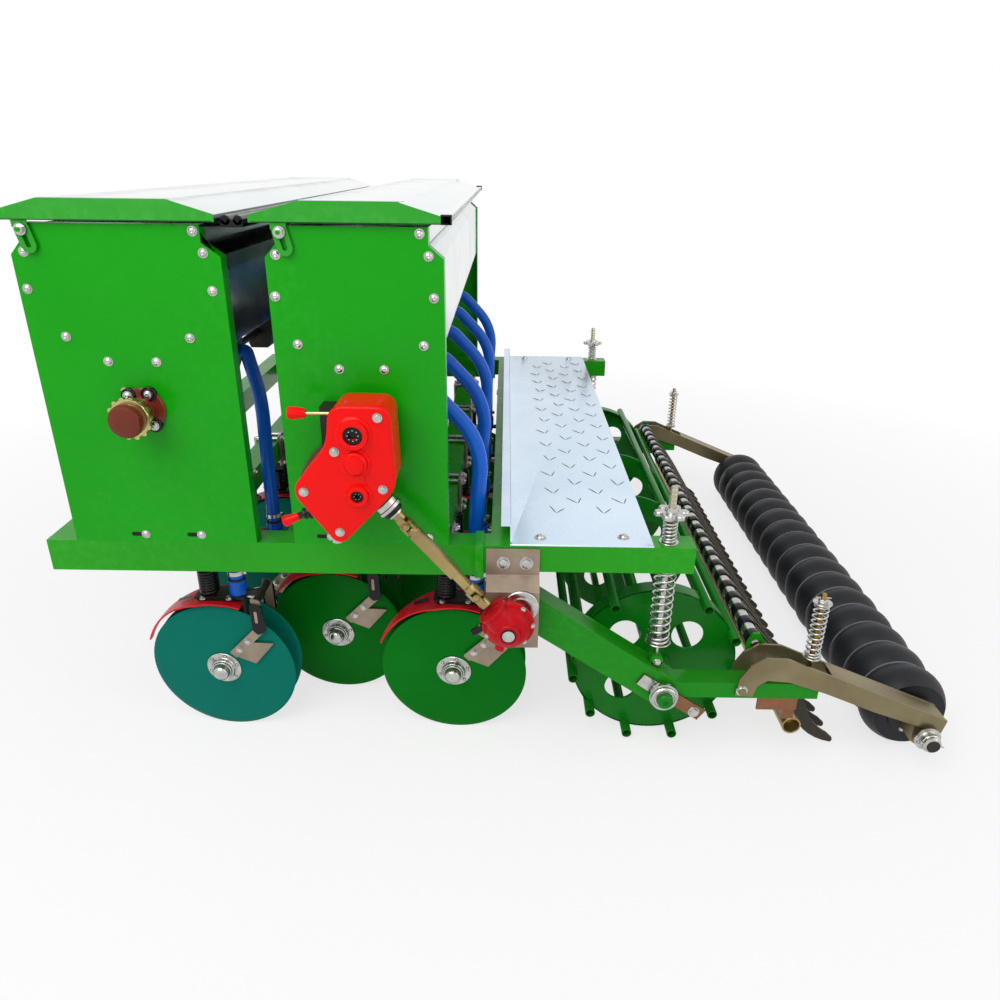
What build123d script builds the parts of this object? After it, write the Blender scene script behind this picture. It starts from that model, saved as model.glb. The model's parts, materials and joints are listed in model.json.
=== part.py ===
from build123d import *
import math
import os

# Mounted seed and fertiliser drill with double disc openers, a cage roller, a tine comb
# and a rubber roller. Lengths in mm. While the pieces are made, X points forward with 0 at
# the joint in the side beams, Y points left from the centre plane and Z up from the ground.
# Each piece is then moved so that the origin is on the ground below the middle of the whole.

# ---- side beams and cross tubes ----
beam_span = 1700          # over the outer faces of the side beams
beam_width = 60
beam_height = 70          # front length of the beams
tail_height = 60          # rear length of the beams
beam_top = 573            # above the ground
beam_front = 893          # front end, ahead of the joint
beam_rear = 461           # rear end, behind the joint
joint_length = 18         # collar where the two lengths meet
joint_lip = 4
toolbar = 60              # square tube that carries a rank of openers
toolbar_drop = 70         # its centre below the top of the beams
half_span = beam_span / 2
beam_inner = half_span - beam_width
toolbar_z = beam_top - toolbar_drop

# ---- disc openers ----
disc_radius = 175
disc_thickness = 3
disc_toe = 5              # degrees that each disc leans from straight ahead
pinch_angle = 35          # degrees below level of the point where a pair comes closest
pinch_gap = 6
row_spacing = 158
rows_per_rank = 5
rank_front = 612          # hub station of each rank
rank_middle = 367
rank_rear = 56
hub_bore = 10.05
stub_radius = 10
hub_radius = 36
hub_depth = 34
body_thickness = 14
guard_gap = 11
guard_sheet = 4
guard_width = 92
guard_front_angle = 20
guard_rear_angle = 110
leg_offset = 15           # leg ahead of the hub
leg_radius = 13
leg_top = 452
coil_radius = 24
coil_wire = 5
coil_turns = 6
clamp_width = 64
clamp_height = 92
clamp_thickness = 8
ubolt_radius = 6
ubolt_gap = 0.3
boot_offset = 52          # seed tube behind the hub
boot_radius = 20
boot_top = 412
scraper_gap = 5.5
scraper_arm = [(-116, 205), (-94, 210), (-97, 129), (-24, 52), (-40, 37), (-119, 120)]
scraper_blade = [(-71, 82), (-133, 82), (-84, 22), (-44, 38)]   # from the hub
hose_radius = 17

# ---- hoppers ----
front_hopper = (828, 453)     # front and rear edges of its end panels
rear_hopper = (374, 54)
panel_sheet = 4
panel_flange = 30
neck_inset = 21           # front edge of the neck behind the panel's front edge
panel_height = 625        # above the side beams
neck_depth = 31           # upright neck below the top of the panels
neck_chamfer = 23         # height of the slope under the neck
bin_sheet = 2
waist_drop = 59           # below the chamfers, where the walls start to slope in
bin_depth = 135           # from there to the floor
floor_width = 87
end_wall_inset = 30       # end walls of a bin inside the faces of the panels
skirt_drop = 100          # rear skin below the waist
meter_drop = 90           # axis of the meters below the floor
meter_width = 84
meter_length = 56
meter_sump = 46           # depth below the axis
front_meter = 638
rear_meter = 213

# ---- lids ----
lid_gap = 5               # above the panels
lid_height = 37
lid_edge = 13             # upright edge below the slope
lid_front_run = 90        # length of the front slope
lid_rear_run = 80
lid_sheet = 2
lid_overhang = 10         # past the outer faces of the panels
lid_nose = 20             # past the front edge of the panels
hinge_drop = 10           # hinge bolt below the top of the panels
hinge_inset = 12          # hinge bolt behind the front edge of the neck
hinge_bolt = 4
hinge_clearance = 0.5
hinge_ear = 3
hinge_ear_width = 28
slot_length = 28
slot_lean = 14            # degrees that the slotted ear leans back
trim_size = 14            # profile along the rear edge of the rear lid
strip_width = 39          # black strip between the lids
strip_offset = 8          # behind the rear edge of the front panels
strip_height = 10
strip_sheet = 2

# ---- walkway ----
walkway_front = 73        # behind the joint
walkway_length = 300
walkway_sheet = 4
walkway_lip = 38

# ---- drive on the left side ----
gearbox_x = 242
gearbox_height = 60       # lowest corner above the side beams, before it is rounded
gearbox_standoff = 30
gearbox_depth = 88
gearbox_cover = 12
bevel_x = -72
bevel_z = 424
bevel_radius = 50
bevel_depth = 64
bracket_sheet = 6
bracket_joggle = 34

# ---- roller frame ----
arm_front_x = -79
arm_front_z = 440
arm_depth = 76
cage_x = -424
cage_radius = 208
tube_height = 40
tube_width = 50
tube_end = -776
cage_inset = 120          # end discs inside the outer faces of the side beams
cage_peg = 38
cage_bar_radius = 12
cage_bars = 11
cage_plate = 6
cage_rim_width = 40       # hoops at the end discs
cage_rim_sheet = 5
cage_inner_disc = 180     # inner discs either side of the centre plane
cage_window = 38          # radius of the four windows in each disc
cage_window_ring = 105
cage_hub = 40
cage_axle = 17.5
bearing_clearance = 0.05
spring_x = -408
big_coil = 22
big_wire = 3.5
rod_radius = 8
rod_stem = 5              # radius of a spring rod below its spring
spring_foot_rise = 50     # foot of a spring above its clevis
rod_clearance = 1
hand_nut_rise = 67        # above the side beams

# ---- comb ----
comb_x = -640
comb_z = 300
comb_hub_radius = 20
comb_shaft_radius = 12
comb_inset = 74           # ends of the comb inside the outer faces of the side beams
tine_pitch = 57           # about this, so that a tine stands at each end
tine_seat = 12            # half the length of the hub of a tine
tine_thickness = 6
tine_reach = 231          # tip behind the shaft
tine_width = 34
tine_bar_gap = 6          # tines pass this far behind the bar
comb_bar_x = -733
comb_bar_z = 113
comb_plate_length = 91    # plates that hold the bar under the level tubes
comb_plate_height = 32
comb_bar_radius = 22

# ---- rear arms and rubber roller ----
rear_arm_sheet = 6
rear_pivot_x = -600
rear_pivot_z = 220
pivot_radius = 9
press_x = -1040
press_radius = 100
press_rings = 17
press_groove = 17
press_core = 70
press_axle = 15
press_side_gap = 8
rear_rod_x = -756
rear_rod_top = 456

# ---- hitch ----
pin_y = 342               # middle of the ball of a lower link
pin_reach = 46            # end of a pin beyond the middle of its ball
pin_shoulder = 25         # face that the ball seats against, short of its middle
hitch_plate = 12
plate_low = 430
mast_half = 60
mast_plate = 10
lower_pin_radius = 11
lower_pin_x = 985
lower_pin_z = 470
top_pin_radius = 9.65
top_pin_x = 950
top_pin_z = 950

# ---- worked out ----
hand_nut_z = beam_top + hand_nut_rise
gearbox_z = beam_top + gearbox_height
panel_top = beam_top + panel_height
neck_high = panel_top - neck_depth
neck_low = neck_high - neck_chamfer
bin_waist = neck_low - waist_drop
bin_floor = bin_waist - bin_depth
meter_axis = bin_floor - meter_drop
lid_bottom = panel_top + lid_gap
lid_top = lid_bottom + lid_height
hinge_z = panel_top - hinge_drop
toe = math.radians(disc_toe)
pinch = math.radians(pinch_angle)
disc_offset = pinch_gap / 2 + disc_thickness / 2 + disc_radius * math.sin(toe)
hub_z = disc_radius * math.sqrt(1 - (math.sin(toe) * math.sin(pinch)) ** 2) \
    + disc_thickness / 2 * math.sin(toe) * math.sin(pinch)
guard_radius = disc_radius + guard_gap
rows_odd = [(rows_per_rank - 0.5 - 2 * i) * row_spacing for i in range(rows_per_rank)]
rows_even = [-y for y in reversed(rows_odd)]
# name, hub station, centre lines across the machine
ranks = (("front", rank_front, rows_odd),
         ("middle", rank_middle, rows_even),
         ("rear", rank_rear, rows_odd))
openers = [(hub_x, y) for rank, hub_x, rows in ranks for y in rows]
cage_z = cage_radius
cage_end_disc = half_span - cage_inset
comb_ends = half_span - comb_inset
tine_span = 2 * (comb_ends - tine_seat)
tine_count = round(tine_span / tine_pitch) + 1
rod_places = (half_span - beam_width / 2, -half_span + beam_width / 2)
arm_slope = math.atan2(arm_front_z - cage_z, arm_front_x - cage_x)
tube_top = cage_z + 27
arm_top = cage_z + (spring_x - cage_x) * math.tan(arm_slope) \
    + arm_depth / 2 / math.cos(arm_slope)
clevis_z = arm_top + 12
spring_foot = clevis_z + spring_foot_rise
tube_bottom = tube_top - tube_height
press_half = half_span - tube_width - 2 * rear_arm_sheet - press_side_gap
press_end = half_span + 45
gearbox_face = half_span + gearbox_standoff + gearbox_depth + gearbox_cover
left_reach = gearbox_face + 12
bevel_y = half_span + bracket_joggle + bracket_sheet
shaft_start = (gearbox_x - 92, half_span + 62, gearbox_z + 38)
shaft_end = (bevel_x + 46, bevel_y + 34, bevel_z + 52)
right_reach = press_end
front_reach = lower_pin_x + 28
rear_reach = press_radius - press_x
x_mid = (front_reach - rear_reach) / 2
y_mid = (left_reach - right_reach) / 2


def disc_axis(side):
    """Outward direction of the disc on one side of an opener: 1 is left, -1 is right."""
    return (math.sin(toe) * math.cos(pinch), side * math.cos(toe),
            -math.sin(toe) * math.sin(pinch))


# ---- helpers ----
os.makedirs("parts", exist_ok=True)
to_origin = Location((-x_mid, -y_mid, 0))


def save(builder, name):
    """Move the finished piece to the shared origin, label it and write it."""
    piece = builder.part.moved(to_origin)
    piece.label = name
    export_step(piece, f"parts/{name}.step")


def side_plane(y):
    """Upright plane seen from the right: sketch x is forward, sketch y is up."""
    return Plane(origin=(0, y, 0), x_dir=(1, 0, 0), z_dir=(0, -1, 0))


def plate(points, y, thickness, radius=0, mode=Mode.ADD):
    """Outline (x, z) from y towards the right by its thickness, with rounded corners."""
    with BuildSketch(side_plane(y)) as outline:
        with BuildLine():
            Polyline(*points, close=True)
        make_face()
        if radius:
            fillet(outline.vertices(), radius)
    extrude(outline.sketch, amount=thickness, mode=mode)


def rod_y(x, z, radius, y_low, y_high, mode=Mode.ADD):
    """Round bar across the machine."""
    with Locations(Location((x, (y_low + y_high) / 2, z), (90, 0, 0))):
        Cylinder(radius, y_high - y_low, mode=mode)


def rod_z(x, y, radius, z_low, z_high, mode=Mode.ADD):
    """Upright round bar."""
    with Locations((x, y, (z_low + z_high) / 2)):
        Cylinder(radius, z_high - z_low, mode=mode)


def block(x_low, x_high, y_low, y_high, z_low, z_high, mode=Mode.ADD):
    """Box between two corners."""
    with Locations(((x_low + x_high) / 2, (y_low + y_high) / 2, (z_low + z_high) / 2)):
        Box(x_high - x_low, y_high - y_low, z_high - z_low, mode=mode)


def rod_between(start, end, radius, mode=Mode.ADD):
    """Round bar from one point to another."""
    run = Vector(*end) - Vector(*start)
    with BuildSketch(Plane(origin=start, z_dir=run)) as section:
        Circle(radius)
    extrude(section.sketch, amount=run.length, mode=mode)


def coil(x, y, z_low, z_high, radius, wire, turns):
    """Coil spring as a ribbed column."""
    rod_z(x, y, radius, z_low, z_high)
    pitch = (z_high - z_low - 2 * wire) / (turns - 1)
    for turn in range(turns):
        with Locations((x, y, z_low + wire + turn * pitch)):
            Torus(radius, wire)


# ---- main frame ----
with BuildPart() as main_frame:
    for y_low in (-half_span, beam_inner):
        block(0, beam_front, y_low, y_low + beam_width, beam_top - beam_height, beam_top)
        block(-beam_rear, 0, y_low, y_low + beam_width, beam_top - tail_height, beam_top)
        block(-joint_length, 0, y_low - joint_lip, y_low + beam_width + joint_lip,
              beam_top - beam_height - joint_lip, beam_top + joint_lip)
    block(beam_front - beam_width, beam_front, -beam_inner, beam_inner,
          beam_top - beam_height, beam_top)
    for bar_rear in (-walkway_front - 20, -walkway_front - walkway_length + 4):
        block(bar_rear, bar_rear + tail_height, -beam_inner, beam_inner,
              beam_top - tail_height, beam_top)
    for rank, hub_x, rows in ranks:
        bar_rear = hub_x + clamp_thickness / 2
        block(bar_rear, bar_rear + toolbar, -beam_inner, beam_inner,
              toolbar_z - toolbar / 2, toolbar_z + toolbar / 2)
    for y in rod_places:
        rod_z(spring_x, y, rod_radius + rod_clearance, 0, beam_top + 1, mode=Mode.SUBTRACT)
save(main_frame, "main_frame")

# ---- three-point hitch: a plate and a pin on each side, and a mast with two ears ----
with BuildPart() as hitch:
    for side in (1, -1):
        face = side * (pin_y - pin_shoulder)
        back = side * (pin_y - pin_shoulder - hitch_plate)
        plate([(beam_front, beam_top), (beam_front, plate_low), (lower_pin_x - 20, plate_low),
               (lower_pin_x + 28, lower_pin_z - 20), (lower_pin_x + 28, lower_pin_z + 20),
               (lower_pin_x - 20, beam_top - 20)], max(face, back), hitch_plate)
        ends = sorted((side * (pin_y - pin_shoulder - 7), side * (pin_y + pin_reach)))
        rod_y(lower_pin_x, lower_pin_z, lower_pin_radius, *ends)
        rod_y(lower_pin_x, lower_pin_z, lower_pin_radius + 9, *sorted((back - side * 10, back)))
    for y in (-mast_half, mast_half - mast_plate):
        plate([(beam_front, beam_top), (beam_front, plate_low), (beam_front + 70, plate_low),
               (top_pin_x + 26, top_pin_z - 30), (top_pin_x + 26, top_pin_z + 30),
               (top_pin_x - 26, top_pin_z + 30)], y + mast_plate, mast_plate)
    rod_y(top_pin_x, top_pin_z, top_pin_radius, -mast_half - 2, mast_half + 2,
          mode=Mode.SUBTRACT)
    block(beam_front, beam_front + 8, -pin_y, pin_y, plate_low + 10, plate_low + 70)
save(hitch, "hitch")


# ---- hopper end panels ----
def panel_outline(edges, inset, shrink=0):
    """Legs down to the beam, chamfers and a narrower neck under the lid."""
    front, rear = edges[0] - shrink, edges[1] + shrink
    return [(front, beam_top + shrink), (rear, beam_top + shrink), (rear, neck_low),
            (rear + inset, neck_high), (rear + inset, panel_top - shrink),
            (front - neck_inset, panel_top - shrink), (front - neck_inset, neck_high),
            (front, neck_low)]


def hinge_station(edges):
    """Where the hinge bolts of a hopper's lid stand along the machine."""
    return edges[0] - neck_inset - hinge_inset


# edges of the panels, inset of the neck at the rear
hopper_table = ((front_hopper, 32), (rear_hopper, 27))
with BuildPart() as hopper_panels:
    for edges, inset in hopper_table:
        for outer, inner in ((half_span, half_span - panel_sheet),
                             (-half_span + panel_flange, -half_span + panel_flange)):
            plate(panel_outline(edges, inset), outer, panel_flange)
            plate(panel_outline(edges, inset, panel_sheet), inner,
                  panel_flange - panel_sheet, mode=Mode.SUBTRACT)
        bolt_x = hinge_station(edges)
        for side in (1, -1):
            ends = sorted((side * (half_span - 1), side * (half_span + lid_overhang + 12)))
            rod_y(bolt_x, hinge_z, hinge_bolt, *ends)
save(hopper_panels, "hopper_panels")


# ---- bins ----
def bin_outline(edges, inset, floor_x, shrink=0):
    """Follows the neck and chamfers of the panels, then slopes in to a narrow floor."""
    front, rear = edges[0] - panel_sheet - shrink, edges[1] + panel_sheet + shrink
    neck_front, neck_rear = front - neck_inset, rear + inset
    half_floor = floor_width / 2 - shrink / 2
    return [(front, bin_waist), (floor_x + half_floor, bin_floor + shrink),
            (floor_x - half_floor, bin_floor + shrink), (rear, bin_waist), (rear, neck_low),
            (neck_rear, neck_high), (neck_rear, bin_rim + 5 * shrink),
            (neck_front, bin_rim + 5 * shrink), (neck_front, neck_high), (front, neck_low)]


bin_end = half_span - panel_sheet
end_wall = half_span - end_wall_inset
bin_rim = panel_top - panel_sheet
for name, (edges, inset), floor_x in (("front_bin", hopper_table[0], front_meter),
                                      ("rear_bin", hopper_table[1], rear_meter)):
    with BuildPart() as trough:
        plate(bin_outline(edges, inset, floor_x), bin_end, 2 * bin_end)
        plate(bin_outline(edges, inset, floor_x, bin_sheet), bin_end, 2 * bin_end,
              mode=Mode.SUBTRACT)
        for outer in (end_wall, -end_wall + bin_sheet):
            plate(bin_outline(edges, inset, floor_x), outer, bin_sheet)
        skirt_x = edges[1] + panel_sheet
        block(skirt_x, skirt_x + bin_sheet, -bin_end, bin_end, bin_waist - skirt_drop,
              bin_waist + 1)
    save(trough, name)


# ---- lids ----
def lid_outline(front, rear, shrink=0):
    """Low upright edges, slopes and a flat top."""
    low, high = lid_bottom - (shrink and 1), lid_top - shrink
    return [(front - shrink, low), (front - shrink, lid_bottom + lid_edge - shrink / 2),
            (front - lid_front_run, high), (rear + lid_rear_run, high),
            (rear + shrink, lid_bottom + lid_edge - shrink / 2), (rear + shrink, low)]


lid_edge_y = half_span + lid_overhang
lean = math.radians(slot_lean)
for name, edges in (("front_lid", front_hopper), ("rear_lid", rear_hopper)):
    hinge_x = hinge_station(edges)
    slot_x = hinge_x - slot_length * math.sin(lean)
    slot_z = hinge_z - slot_length * math.cos(lean)
    slot_middle = ((hinge_x + slot_x) / 2, (hinge_z + slot_z) / 2)
    lid_rear = edges[1]
    with BuildPart() as lid:
        plate(lid_outline(edges[0] + lid_nose, lid_rear), lid_edge_y, 2 * lid_edge_y)
        plate(lid_outline(edges[0] + lid_nose, lid_rear, lid_sheet), lid_edge_y - lid_sheet,
              2 * (lid_edge_y - lid_sheet), mode=Mode.SUBTRACT)
        for y in (lid_edge_y - lid_sheet, -lid_edge_y + lid_sheet + hinge_ear):
            with BuildSketch(side_plane(y)) as ear:
                SlotCenterPoint(slot_middle, (slot_x, slot_z), hinge_ear_width)
                with Locations((hinge_x + 2, lid_bottom)):
                    Rectangle(hinge_ear_width, 24)
                SlotCenterPoint(slot_middle, (slot_x, slot_z),
                                2 * (hinge_bolt + hinge_clearance), mode=Mode.SUBTRACT)
            extrude(ear.sketch, amount=hinge_ear)
        if name == "rear_lid":
            block(lid_rear - trim_size, lid_rear, -lid_edge_y, lid_edge_y,
                  lid_bottom, lid_bottom + trim_size)
    save(lid, name)

# ---- black strip between the lids, carried by the front panels ----
strip_x = front_hopper[1] - strip_offset
strip_low = bin_rim
with BuildPart() as gap_strip:
    block(strip_x - strip_width, strip_x, -half_span, half_span, strip_low,
          panel_top + strip_height)
    block(strip_x - 1, front_hopper[1] + hopper_table[0][1], -half_span, half_span, strip_low,
          strip_low + strip_sheet)
save(gap_strip, "gap_strip")

# ---- seed meters and their shafts ----
with BuildPart() as seed_meters:
    for x, rows in ((front_meter, rows_odd), (rear_meter, rows_odd + rows_even)):
        for y in rows:
            plate([(x - meter_width / 2, bin_floor), (x - meter_width / 2, meter_axis),
                   (x - 24, meter_axis - meter_sump), (x + 24, meter_axis - meter_sump),
                   (x + meter_width / 2, meter_axis), (x + meter_width / 2, bin_floor)],
                  y + meter_length / 2, meter_length)
        rod_y(x, meter_axis, 9, -bin_end, bin_end)
save(seed_meters, "seed_meters")

# ---- hoses: outlet side (1 forward, -1 back) and the rank that each row feeds ----
with BuildPart() as hoses:
    for meter_x, hub_x, rows, way in ((front_meter, rank_front, rows_odd, -1),
                                      (rear_meter, rank_middle, rows_even, 1),
                                      (rear_meter, rank_rear, rows_odd, -1)):
        start = meter_x + way * meter_width / 2
        end = hub_x - boot_offset
        reach = end - start
        for y in rows:
            route = [(start, y, meter_axis + 10), (start + 0.42 * reach, y, meter_axis + 10),
                     (end + 0.10 * reach, y, meter_axis - 110), (end, y, boot_top + 165),
                     (end, y, boot_top)]
            turns = []
            for a, b, c in zip(route, route[1:], route[2:]):
                into = Vector(*b) - Vector(*a)
                out = Vector(*c) - Vector(*b)
                bend = math.radians(into.get_angle(out))
                turns.append(0.45 * min(into.length, out.length) / math.tan(bend / 2))
            with BuildLine() as path:
                FilletPolyline(*route, radius=turns)
            with BuildSketch(Plane(origin=path.line @ 0, z_dir=path.line % 0)) as section:
                Circle(hose_radius)
            sweep(section.sketch, path=path.line)
save(hoses, "hoses")

# ---- opener clamps ----
with BuildPart() as clamp:
    low = toolbar_z - clamp_height / 2
    block(-clamp_thickness / 2, clamp_thickness / 2, -clamp_width / 2, clamp_width / 2,
          low, low + clamp_height)
    wrap = toolbar / 2 + ubolt_radius + ubolt_gap
    for y in (-20, 20):
        centre = clamp_thickness / 2 + toolbar / 2
        with BuildLine() as bend:
            FilletPolyline((-16, y, toolbar_z + wrap), (centre + wrap, y, toolbar_z + wrap),
                           (centre + wrap, y, toolbar_z - wrap), (-16, y, toolbar_z - wrap),
                           radius=ubolt_radius + ubolt_gap)
        with BuildSketch(Plane(origin=bend.line @ 0, z_dir=bend.line % 0)) as section:
            Circle(ubolt_radius)
        sweep(section.sketch, path=bend.line)
with BuildPart() as opener_clamps:
    with Locations(*[(x, y, 0) for x, y in openers]):
        add(clamp.part)
save(opener_clamps, "opener_clamps")

# ---- opener legs: head, rod, flange, body between the discs, seed tube, scraper carrier ----
guard_top = hub_z + guard_radius + guard_sheet
carrier_x = -105
carrier_z = hub_z + 198
carrier_radius = 9
with BuildPart() as leg:
    head = toolbar_z - clamp_height / 2
    block(-clamp_thickness / 2, leg_offset + 22, -26, 26, leg_top - 10, head)
    rod_z(leg_offset, 0, leg_radius, guard_top + 5, leg_top)
    block(-boot_offset - 18, leg_offset + 30, -24, 24, guard_top, guard_top + 6)
    half_body = body_thickness / 2
    plate([(leg_offset + 18, guard_top + 3), (leg_offset - 30, guard_top + 3),
           (-32, hub_z + 40), (-26, hub_z - 12), (10, hub_z - 26), (28, hub_z),
           (leg_offset + 18, hub_z + 60)], half_body, body_thickness, radius=6)
    rod_z(-boot_offset, 0, boot_radius, guard_top + 4, boot_top)
    rod_z(-boot_offset, 0, 15, hub_z + 60, guard_top + 4)
    rod_y(carrier_x, carrier_z, carrier_radius, -46, 46)
    plate([(carrier_x - 8, carrier_z - 8), (-boot_offset, guard_top), (-boot_offset, guard_top + 8),
           (carrier_x + 6, carrier_z + 9)], 5, 10)
    for side in (1, -1):
        out = Vector(*disc_axis(side))
        centre = Vector(0, side * disc_offset, hub_z)
        inner = centre - out * (disc_offset - 2)
        tip = centre + out * (hub_depth - 8)
        rod_between(inner, tip, stub_radius)
with BuildPart() as opener_legs:
    with Locations(*[(x, y, 0) for x, y in openers]):
        add(leg.part)
save(opener_legs, "opener_legs")

# ---- opener springs ----
with BuildPart() as leg_spring:
    coil(leg_offset, 0, guard_top + 6, leg_top - 10, coil_radius - coil_wire, coil_wire,
         coil_turns)
    rod_z(leg_offset, 0, leg_radius, guard_top, leg_top, mode=Mode.SUBTRACT)
with BuildPart() as opener_springs:
    with Locations(*[(x, y, 0) for x, y in openers]):
        add(leg_spring.part)
save(opener_springs, "opener_springs")

# ---- disc guards ----
with BuildPart() as guard:
    with BuildSketch(side_plane(guard_width / 2)) as ring:
        with BuildLine():
            inner = CenterArc((0, hub_z), guard_radius, guard_front_angle,
                              guard_rear_angle - guard_front_angle)
            outer = CenterArc((0, hub_z), guard_radius + guard_sheet, guard_front_angle,
                              guard_rear_angle - guard_front_angle)
            Line(inner @ 0, outer @ 0)
            Line(inner @ 1, outer @ 1)
        make_face()
    extrude(ring.sketch, amount=guard_width)
    with BuildSketch(Plane.XY) as plan:
        with BuildLine():
            Polyline((-guard_radius, -guard_width / 2), (40, -guard_width / 2),
                     (guard_radius, -5), (guard_radius, 5), (40, guard_width / 2),
                     (-guard_radius, guard_width / 2), close=True)
        make_face()
    extrude(plan.sketch, amount=hub_z + 2 * guard_radius, mode=Mode.INTERSECT)
    block(-boot_offset - 19, leg_offset + 20, -17, 17, hub_z, hub_z + 2 * guard_radius,
          mode=Mode.SUBTRACT)
with BuildPart() as disc_guards:
    with Locations(*[(x, y, 0) for x, y in openers]):
        add(guard.part)
save(disc_guards, "disc_guards")

# ---- scrapers ----
with BuildPart() as scraper_pair:
    for side in (1, -1):
        out = Vector(*disc_axis(side))
        forward = (Vector(1, 0, 0) - out * out.X).normalized()
        centre = Vector(0, side * disc_offset, hub_z)
        face = Plane(origin=centre, x_dir=forward, z_dir=out)
        face = face.offset(disc_thickness / 2 + scraper_gap)
        up = 1 if face.y_dir.Z > 0 else -1
        with BuildSketch(face) as bar:
            for outline in (scraper_arm, scraper_blade):
                with BuildLine():
                    Polyline(*[(x, up * z) for x, z in outline], close=True)
                make_face()
        extrude(bar.sketch, amount=4)
    rod_y(carrier_x, carrier_z, carrier_radius, -guard_width, guard_width, mode=Mode.SUBTRACT)
with BuildPart() as scrapers:
    with Locations(*[(x, y, 0) for x, y in openers]):
        add(scraper_pair.part)
save(scrapers, "scrapers")

# ---- discs, one piece each ----
for rank, hub_x, rows in ranks:
    for row, y in enumerate(rows):
        for side, side_name in ((1, "left"), (-1, "right")):
            out = Vector(*disc_axis(side))
            centre = Vector(hub_x, y + side * disc_offset, hub_z)
            with BuildPart() as disc:
                with BuildSketch(Plane(origin=centre - out * (disc_thickness / 2), z_dir=out)) as rim:
                    Circle(disc_radius)
                extrude(amount=disc_thickness)
                with BuildSketch(Plane(origin=centre + out * (disc_thickness / 2), z_dir=out)):
                    Circle(hub_radius)
                extrude(amount=8)
                with BuildSketch(Plane(origin=centre + out * (disc_thickness / 2 + 8), z_dir=out)):
                    Circle(hub_radius - 12)
                extrude(amount=hub_depth - 8, taper=18)
                with BuildSketch(Plane(origin=centre - out * (disc_thickness / 2), z_dir=out)):
                    Circle(hub_bore)
                extrude(amount=hub_depth - 4, mode=Mode.SUBTRACT)
            save(disc, f"disc_{rank}_{row + 1}_{side_name}")

# ---- walkway ----
with BuildPart() as walkway:
    block(-walkway_front - walkway_length, -walkway_front, -half_span, half_span,
          beam_top, beam_top + walkway_sheet)
    block(-walkway_front - 3, -walkway_front, -half_span + 20, half_span - 20,
          beam_top, beam_top + walkway_lip)
save(walkway, "walkway")

# ---- gearbox with its levers, set out from its lowest point ----
gearbox_outline = [(11, 274), (-97, 274), (-102, 117), (8, 0), (91, 114), (20, 200)]
gearbox_outline = [(gearbox_x + x, gearbox_z + z) for x, z in gearbox_outline]
# boss x, z, radius
gearbox_bosses = ((-32, 225, 26), (-32, 170, 22), (-33, 108, 21))
lever_z = gearbox_z + 249
boot_z = gearbox_z + 60
# start and end ahead of the gearbox's middle, height of the start and of the end, radius
gearbox_levers = ((0, 64, lever_z, lever_z, 4), (62, 96, lever_z, lever_z, 9),
                  (48, 94, boot_z, boot_z - 19, 15), (90, 129, boot_z - 17, boot_z - 27, 9))
with BuildPart() as gearbox:
    back = half_span + gearbox_standoff
    lever_y = back + 55
    plate(gearbox_outline, back + gearbox_depth, gearbox_depth, radius=26)
    plate(gearbox_outline, gearbox_face, gearbox_cover + 1, radius=20)
    for x, z, radius in gearbox_bosses:
        rod_y(gearbox_x + x, gearbox_z + z, radius, gearbox_face - 2, left_reach)
    block(gearbox_x - 82, gearbox_x + 48, half_span, back, gearbox_z + 127, gearbox_z + 247)
    for lever_start, lever_end, drop_start, drop_end, radius in gearbox_levers:
        rod_between((gearbox_x + lever_start, lever_y, drop_start),
                    (gearbox_x + lever_end, lever_y, drop_end), radius)
    start = Vector(*shaft_start)
    rod_between(start - (Vector(*shaft_end) - start).normalized() * 34, start, 22)
save(gearbox, "gearbox")

# ---- bevel gearbox at the front of the left roller arm ----
with BuildPart() as bevel_gearbox:
    rod_y(bevel_x, bevel_z, bevel_radius, bevel_y, bevel_y + bevel_depth)
    rod_y(bevel_x, bevel_z - 20, 26, bevel_y, bevel_y + bevel_depth + 12)
    rod_between((bevel_x, bevel_y + 34, bevel_z), (bevel_x + 44, bevel_y + 34, bevel_z + 50), 28)
save(bevel_gearbox, "bevel_gearbox")

# ---- telescopic shaft with a joint at each end ----
# share of the run where a stretch starts and ends, radius
shaft_stretches = ((0, 0.10, 13), (0.10, 0.24, 10), (0.24, 0.30, 14), (0.30, 0.62, 9),
                   (0.62, 0.90, 12), (0.90, 1.0, 15))
with BuildPart() as drive_shaft:
    start, end = Vector(*shaft_start), Vector(*shaft_end)
    run = end - start
    for part_start, part_end, radius in shaft_stretches:
        rod_between(start + run * part_start, start + run * part_end, radius)
save(drive_shaft, "drive_shaft")

# ---- rate adjuster on the front hopper's left panel ----
with BuildPart() as rate_adjuster:
    rod_y(front_meter, meter_axis, 44, half_span, half_span + 8)
    rod_y(front_meter, meter_axis, 24, half_span + 8, half_span + 56)
    rod_y(front_meter, meter_axis, 38, half_span + 34, half_span + 58)
    rod_y(front_meter, meter_axis, 32, half_span + 58, half_span + 92)
save(rate_adjuster, "rate_adjuster")

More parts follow.
